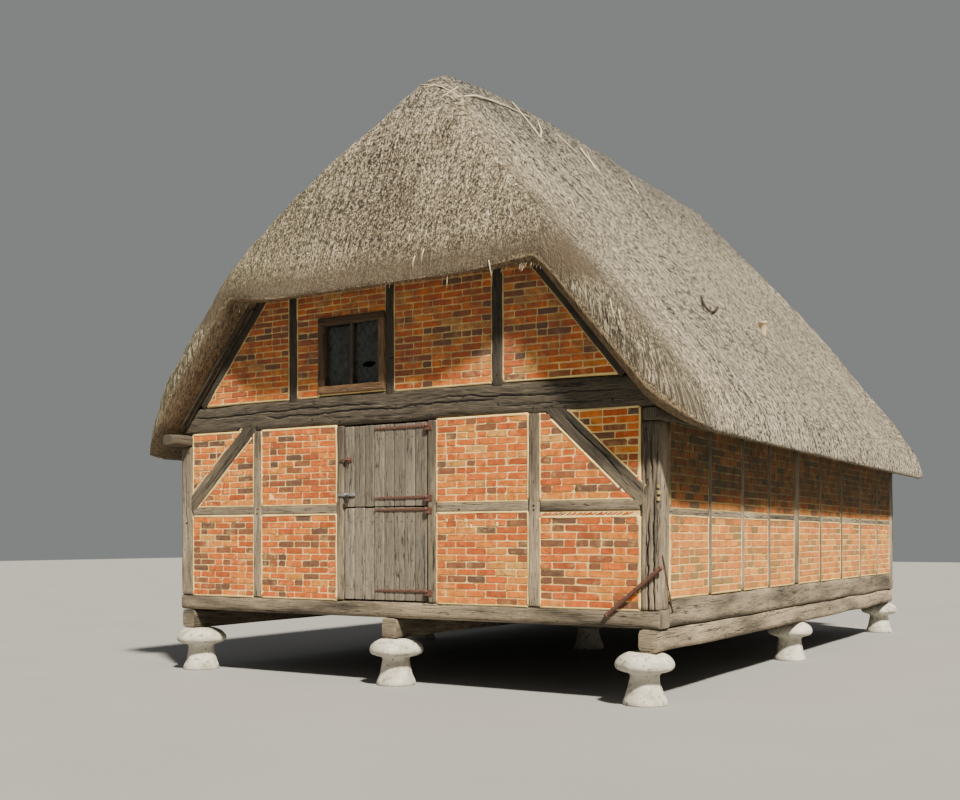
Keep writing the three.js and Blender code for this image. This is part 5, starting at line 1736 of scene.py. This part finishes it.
heap = Heap()
flat = on_wall("front", pane_with_hole()).reshape(-1, 3)
faces = grid_faces(5, RAYS, closed=True)[:, ::-1] % (4 * RAYS)
heap.add(flat, [(faces, flat[faces][..., [0, 2]], False)])
middle = PANE_DEPTH + PANE_THICK / 2, (PANE[0].z + PANE[1].z) / 2
ends = on_wall("front", [(x, *middle) for x in (PANE[0].x, MULLION_X - MULLION_HALF)])
put(heap, plain_bar(*ends, PANE_HIGH, PANE_THICK, FRONT_OUT, wear=0.0, ring=12))
build("window_sheets", heap, dusty_glass, replaced=["window_panes"])

heap = Heap()
t = np.linspace(0, PANE_HIGH, LEAD_POINTS)
for low_x, high_x in ((PANE[0].x, MULLION_X - 0.02), (MULLION_X + 0.02, PANE[1].x)):
    for rise in (PANE_HIGH - t, t):
        for offset in np.arange(-PANE_HIGH, high_x - low_x + PANE_HIGH, LATTICE):
            x, z = low_x + offset + rise / LATTICE_SLANT, PANE[0].z + t
            gap = ((x - HOLE_X) / (HOLE_WIDE * 1.1)) ** 2 + ((z - HOLE_Z) / (HOLE_HIGH * 1.3)) ** 2 < 1
            inside = (x > low_x) & (x < high_x) & ~gap
            for run in np.split(np.arange(LEAD_POINTS), np.flatnonzero(np.diff(inside)) + 1):
                if inside[run[0]] and len(run) > 2:
                    path = [(x[i], PANE_DEPTH - 0.001, z[i]) for i in (run[0], run[-1])]
                    put(heap, rod(on_wall("front", path), 0.003, 4))
build("window_leads", heap, lead)

# %% [markdown]
# ### Iron props
#
# A pole with a collar near each end leans against the front corner post, and a thin bent rod holds the same
# corner from the right side.

# %% Iron props
POLE_R, POLE_GAP = 0.021, 0.0003
POLE_FOOT, POLE_HEAD = (2.440, 0.785), (2.985, 1.232)  # along the front wall and up
COLLARS_AT = (0.02, 0.985)
THIN_ROD = [(2.9565, -4.582, 1.337), (2.958, -4.50, 1.14), (2.9565, -4.41, 0.95), (2.9565, -4.356, 0.823)]
heap = Heap()
foot, head = (on_wall("front", (x, -POLE_R - POLE_GAP, z)) for x, z in (POLE_FOOT, POLE_HEAD))
way = (head - foot) / np.linalg.norm(head - foot)
put(heap, rod(foot + (head - foot) * np.linspace(0, 1, 24)[:, None], POLE_R, 18))
for place in COLLARS_AT:
    middle = foot + (head - foot) * place
    put(heap, rod([middle - way * 0.008, middle + way * 0.008], POLE_R * 1.04, 18))
put(heap, rod(THIN_ROD, 0.006, 10, step=0.04))
build("props", heap, rusty_iron, replaced=["iron_prop_pole"])

# %% [markdown]
# ### Tile slips and lime lumps
#
# Somebody filled the gap under the right rail with slips of tile set on edge, and pushed lumps of lime into
# the worst holes. Both are logs again, very short and very worn.

# %% Tile slips and lime lumps
SLIP_STEP, SLIP_LONG, SLIP_THICK = 0.052, 0.105, 0.013
heap = Heap()
low_z, high_z = FRONT_RAIL[0] - SLIP_BAND + 0.004, FRONT_RAIL[0] - 0.004
for x in np.arange(FRONT_STUDS[1][1] + 0.03, POST_FACE - 0.05, SLIP_STEP):
    lean = random.uniform(0.32, 0.5)
    long = min(SLIP_LONG, 0.8 * (high_z - low_z) / math.sin(lean))
    half = np.array([math.cos(lean), math.sin(lean)]) * long / 2
    centre = np.array([x + random.normal(0, 0.005), (low_z + high_z) / 2])
    depth = (BRICK_DEPTH + random.uniform(-0.002, 0.003), BRICK_BACK)
    how = {"ring": 12, "step": 0.03, "wear": 1.4, "tint": random.choice([0.12, 0.3, 0.4, 0.5, 0.9])}
    beam(heap, "front", centre - half, centre + half, SLIP_THICK, depth, **how)
build("tile_slips", heap, brick_clay)

LUMPS = [(HALF_W - 0.010, 0.002, 1.83), (HALF_W - 0.006, 0.006, 1.885), (HALF_W - 0.012, 0.002, 1.94)]
LUMPS += [(0.92, 0.009, 1.655), (0.98, 0.009, 1.60), (1.28, 0.009, 1.62), (0.70, 0.009, 1.66)]
heap = Heap()
for x, depth, z in LUMPS:
    wide, high = random.uniform(0.026, 0.038, 2)
    span = (x - wide / 2, x + wide / 2)
    how = {"ring": 14, "step": 0.008, "wear": 2.6}
    upright(heap, "front", span, z - high / 2, z + high / 2, (depth - 0.006, depth + 0.02), **how)
build("lime_lumps", heap, lime_mortar)

# %% [markdown]
# ### Mushroom stones
#
# The overhanging cap of a staddle stone keeps rats out of the grain. The stone was cut by hand and has
# weathered, so its turned profile is dented by noise, but not where it stands and where the bearer lies.

# %% Mushroom stones
STONE_PROFILE = [
    (0.196, 0.0), (0.205, 0.012), (0.196, 0.05), (0.170, 0.11), (0.150, 0.19), (0.141, 0.25), (0.146, 0.272),
    (0.168, 0.286), (0.215, 0.297), (0.255, 0.312), (0.273, 0.332), (0.278, 0.355), (0.272, 0.382),
    (0.255, 0.41), (0.225, 0.436), (0.185, 0.455), (0.150, 0.466), (0.120, STONE_TOP - 0.0003),
]
STONE_TURNS = 36
radius, z = np.array(STONE_PROFILE).T
turn = np.linspace(0, 2 * np.pi, STONE_TURNS, endpoint=False)
ring = np.stack([np.cos(turn), np.sin(turn), 0 * turn], -1)
held = (smooth(z / 0.03) * smooth((STONE_TOP - z) / 0.02))[:, None]
along = np.concatenate([[0], np.cumsum(np.hypot(np.diff(radius), np.diff(z)))])
heap = Heap()
stones = [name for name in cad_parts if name.startswith("staddle_stone")]
for name in stones:
    low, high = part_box(name)
    middle = np.array([(low.x + high.x) / 2, (low.y + high.y) / 2, 0])
    points = middle + radius[:, None, None] * ring + z[:, None, None] * np.array([0, 0, 1])
    dents = 0.010 * noise(points, 0.16, 81) + 0.005 * noise(points, 0.05, 82) - 0.006
    points = points + ring * (dents * held)[..., None]
    heap.add(*tube(points, np.linspace(0, 1.3, STONE_TURNS + 1), along))
build("mushroom_stones", heap, limestone, replaced=stones)

# %% [markdown]
# ### Floors, rafters and pegs
#
# Through the open door the floor and the joists over it show. The boards are new pieces, and the joists and
# rafters stay as the frame has them and get a dark wood. Oak pegs hold the front frame's joints together.

# %% Floors, rafters and pegs
FLOOR_BOARD, BOARD_GAP, LEAST_BOARD = 0.2, 0.004, 0.03
dress_nodes(["rafters_and_purlins", "ridge_and_hip_rafters"], OAK_WITHIN)
for name, top_z, thick in (("floor", FLOOR_TOP, 0.012), ("loft_floor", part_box("loft_floor")[1].z, 0.01)):
    box_low, box_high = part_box(name)
    heap = Heap()
    for y in np.arange(box_low.y, box_high.y, FLOOR_BOARD):
        wide = min(FLOOR_BOARD, box_high.y - y) - BOARD_GAP
        if wide > LEAST_BOARD:
            ends = [(x, y + wide / 2, top_z - thick / 2) for x in (box_low.x, box_high.x)]
            put(heap, plain_bar(*ends, wide, thick, (0, 0, 1), step=0.5, wear=0.2, ring=12))
    build(name + "_boards", heap, FLOOR_WOOD)
JOIST_TONES = (0.05, 0.04, 0.028), (0.17, 0.13, 0.09), (0.2, 0.16, 0.11)
dress_nodes(["floor", "loft_floor"], wood("joists", *JOIST_TONES, from_object=(0.2, 1, 1)))

PEG_R, PEG_LONG = 0.011, 0.02
PEGS = [(-1.88, 2.72), (-2.05, 2.69), (1.88, 2.71), (2.02, 2.69), (-2.83, 2.45), (2.83, 2.45), (-0.63, 2.70)]
PEGS += [(0.53, 2.70), (1.685, 1.79), (1.685, 1.75), (-1.78, 1.80), (-1.78, 1.755), (0.85, 1.765)]
PEGS += [(1.685, 2.70), (-1.27, 3.05), (0.015, 3.06), (1.285, 3.04), (0.02, 3.30), (0.035, 3.30)]
PEGS += [(-0.5, 2.74), (0.9, 2.85), (-2.86, 1.66), (2.84, 2.0), (-1.785, 2.70), (-2.4, 2.8), (2.5, 2.73)]
PEGS += [(-1.0, 2.74), (1.3, 2.76)]
heap = Heap()
for x, z in PEGS:
    place = on_wall("front", (x, 0.0, z))
    ends = place - FRONT_OUT * PEG_LONG, place + FRONT_OUT * random.uniform(-0.001, 0.003)
    put(heap, rod(ends, PEG_R, 8), dark=0.85)
build("pegs", heap, OLD_OAK)

# %% [markdown]
# ### Loose straw
#
# The skin of the coat is the cut ends of straws. A straw is the simplest closed shape, four points: an edge
# on end where it leaves the coat, and a flat edge, its butt, at the free end. Places are drawn by the area
# of the coat's own faces times a density, so the near hip, the lip and the rims get most of them.

# %% Straw material
LOOSE_TONES = [
    (0.0, (0.030, 0.023, 0.013)),
    (0.3, (0.11, 0.086, 0.052)),
    (0.6, (0.28, 0.228, 0.145)),
    (1.0, (0.64, 0.54, 0.36)),
]
loose_straw, graph, shader = new_material("loose straw")
place = graph.object_place()
weather = {"Moss": 0.4, "Moss Color": (0.16, 0.15, 0.065, 1)}
weather |= {"Ridge": 0.45, "Ridge Color": (0.24, 0.235, 0.215, 1), "Ridge From": 6.2}
weather |= {"Place": place, "Cloud": graph.noise(place, 0.9, 4.0, 0.6)}
color = graph.ramp(graph.attribute("tint"), LOOSE_TONES)
dress(graph, shader, graph.group(weather_tree, {"Color": color, **weather})["Color"], 0.85)
print("straw material made")


# %% Straws over the coat
def straw_density(x, y):
    """Straws for each square metre, compared: most on the hip's face and along the near verge."""
    near = smooth((HALF_D - 1.0 - (y + HALF_D)) / 5.0 + 0.15)
    sunny = np.where(x > 0, 1.0, 0.45)
    front = smooth((-3.6 - y) / 0.6)
    return 0.06 + 0.5 * near * sunny + front


def straws(side, count):
    """Straws as four points each, drawn over the upper side of half of the coat."""
    points, normal, hip = COATS[side]
    skin = points[:, :TOP_POINTS]
    down = np.diff(skin, axis=1)[:-1]
    back = np.diff(skin, axis=0)[:, :-1]
    area = np.linalg.norm(np.cross(down, back), axis=-1)
    share = area * straw_density(skin[:-1, :-1, 0], skin[:-1, :-1, 1])
    i, j = np.unravel_index(random.choice(share.size, count, p=(share / share.sum()).ravel()), share.shape)
    u, v = random.uniform(size=(2, count, 1))
    place = skin[i, j] + down[i, j] * u + back[i, j] * v
    up = normal[i, j]
    outwards = back[i, j] * np.sign(place[:, 1:2])
    way = np.where((hip[i, j] > random.uniform(0.3, 0.7, count))[:, None], outwards, down[i, j])
    way /= np.linalg.norm(way, axis=1, keepdims=True)
    across_it = np.cross(up, way)
    on_hip = hip[i, j][:, None]
    stray = random.normal(0, 1, (count, 1)) * (0.3 + 0.4 * on_hip)
    way = way + across_it * stray + up * random.uniform(0.0, 0.10, (count, 1)) * (1 + on_hip)
    way /= np.linalg.norm(way, axis=1, keepdims=True)
    far = 1 + 0.7 * smooth((place[:, 1:2] + 3.5) / 5)
    eave = smooth((TOP_POINTS - 1 - j) / 12)[:, None]
    long = random.uniform(0.018, 0.052, (count, 1)) * far * (0.45 + 0.55 * eave)
    wide = random.uniform(0.004, 0.0085, (count, 1)) * far
    root = place - up * 0.004
    tip = root + way * long
    thin_up, thin_across = up * wide / 2, across_it * wide / 2
    shape = [root + thin_up, root - thin_up, tip + thin_across, tip - thin_across]
    # Painted sunlight: straws on the right slope, which faces the sun, get a lighter tint.
    slope_share = (1 - hip[i, j]) * (place[:, 0] > 0)
    patch = 0.15 * noise(place, 0.9, 91) + 0.12 * noise(place, (0.5, 0.3, 0.5), 92)
    on_lip = (place[:, 1] < -4.7) * (place[:, 2] > 3.8)
    in_shade = 1 - 0.72 * (1 - smooth((place[:, 2] - 4.02) / 0.32)) * on_lip
    # Painted shade: near the front gable the slopes' straws are darkened, as on the rounded verge.
    verge = 1 - 0.68 * (1 - smooth((i - 8) / 34)) * (place[:, 1] < 0) * (1 - hip[i, j])
    tint = random.beta(0.8, 1.0, count) + 0.17 * slope_share - 0.09 + patch
    # Near the eave's roll the straws' tint is halved: painted shade on the rolled edge.
    tint = tint.clip(0, 1) * in_shade * verge * (0.5 + 0.5 * eave[:, 0])
    return np.stack(shape, 1).reshape(-1, 3), tint


STRAW_FACES = np.array([(0, 2, 1), (0, 3, 2), (0, 1, 3), (1, 2, 3)])
for name, side, count in (("left", -1, 22000), ("right", 1, 40000)):
    points, tint = straws(side, count)
    faces = (np.arange(count)[:, None, None] * 4 + STRAW_FACES).reshape(-1, 3)
    heap = Heap()
    heap.add(points, [(faces, np.zeros((len(faces), 3, 2)), False)], tint=np.repeat(tint, 4))
    build(f"loose_straw_{name}", heap, loose_straw)

# %% [markdown]
# ### Rods, hanging straws and a clay pot
#
# Split hazel rods tie the ridge down, and some have come loose. A forked twig and a small clay pot stick in
# the right slope. The lip over the gable has a fringe of straws, and a few long ones hang down.

# %% Rods, hanging straws and a clay pot
RODS = [
    [(-0.088, -3.981, 6.287), (0.2, -4.02, 6.19), (0.484, -4.038, 6.017)],
    [(0.451, -4.089, 6.016), (0.36, -3.6, 6.24), (0.282, -3.049, 6.356), (0.272, -2.19, 6.434)],
    [(0.398, -4.133, 6.012), (0.33, -3.5, 6.26), (0.296, -2.87, 6.356)],
    [(0.125, -2.429, 6.582), (0.37, -2.5, 6.32), (0.608, -2.594, 6.022)],
    [(0.247, -2.038, 6.472), (0.45, -2.3, 6.25), (0.604, -2.60, 6.027)],
    [(0.323, -1.713, 6.404), (0.43, -1.64, 6.29), (0.535, -1.58, 6.162)],
    [(0.316, -0.881, 6.438), (0.5, -1.15, 6.23), (0.672, -1.351, 6.009)],
    [(0.357, -1.143, 6.384), (0.53, -1.2, 6.19), (0.701, -1.271, 5.977)],
    [(0.384, 0.242, 6.382), (0.52, 0.1, 6.22), (0.662, -0.037, 6.048)],
    [(0.038, -4.068, 6.20), (0.141, -4.015, 6.234)],
    [(0.328, -4.139, 6.034), (0.312, -3.854, 6.229)],
]
TWIG = [(2.23, -1.786, 0), (2.30, -1.92, 0), (2.356, -1.99, 0), (2.39, -1.93, 0), (2.385, -1.82, 0)]
FORK = [(2.385, -1.85, 0), (2.334, -1.60, 0), (2.275, -1.40, 0)]
HANGING = [(0.495, -4.963, 4.356), (0.691, -4.959, 4.369), (0.633, -5.073, 4.104), (0.716, -5.043, 4.166)]
HANGING += [(1.455, -5.070, 3.96), (1.016, -5.070, 3.911), (2.636, -4.98, 3.498), (2.703, -4.95, 3.406)]
FRINGE_COUNT, FRINGE_HALF = 260, 2.2
LIP_Z = LIP_UNDER + LIP_RISE * 0.1


def on_coat(places, lift):
    """Places moved up or down to stand the given height above the coat's formula."""
    places = np.array(places, float)
    places[:, 2] = roof_top(places[:, 0], places[:, 1]) + lift
    return places


heap = Heap()
for path in RODS:
    stick = rod(on_coat(path, 0.022), random.uniform(0.007, 0.010), 6, step=0.12)
    put(heap, stick, tint=random.uniform(0.8, 1))
for path in (TWIG, FORK):
    put(heap, rod(on_coat(path, 0.045), 0.013, 6), tint=0.02)
for x, y, z in HANGING:
    lean = random.uniform(-0.03, 0.05)
    path = [(x, y, z + 0.06), (x + lean / 2, y - 0.015, z), (x + lean, y - 0.012, z - 0.09)]
    put(heap, rod(path, 0.0045, 5), tint=1.0)
for _ in range(FRINGE_COUNT):
    x = random.uniform(-FRINGE_HALF, FRINGE_HALF)
    reach = HALF_D + overhang(x) - 0.035
    z = LIP_Z + random.uniform(-0.02, 0.05)
    lean, drop = random.normal(0, 0.01), random.uniform(0.01, 0.06)
    path = [(x, -reach + 0.03, z + 0.04), (x + lean, -reach - 0.004, z - drop)]
    stalk = rod(path, random.uniform(0.002, 0.0035), 4)
    put(heap, stalk, tint=random.uniform(0.2, 1))
build("rods_and_hanging_straw", heap, loose_straw)

POT_FOOT = on_coat([(2.279, 0.233, 0)], -0.03)[0]
POT_OUTSIDE = [(0.036, -0.10), (0.042, 0.03), (0.048, 0.08), (0.053, 0.145), (0.058, 0.148), (0.058, 0.175)]
POT_INSIDE = [(0.046, 0.175), (0.036, 0.05), (0.030, 0.0), (0.026, -0.10)]
heap = Heap()
put(heap, hoop(POT_FOOT, POT_OUTSIDE + POT_INSIDE))
build("clay_pot", heap, flower_pot)

# %% [markdown]
# ## Sizes
#
# The straw may stand a little proud of the frame, but the building has to keep its size. The frame's box
# and the scene's box are gathered at the end, and the scene's is printed.

# %% Sizes and finish
low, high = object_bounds()
{"cad": [list(cad_low), list(cad_high)], "scene": [list(low), list(high)]}
print("scene reaches", [round(v, 3) for v in (*low, *high)])
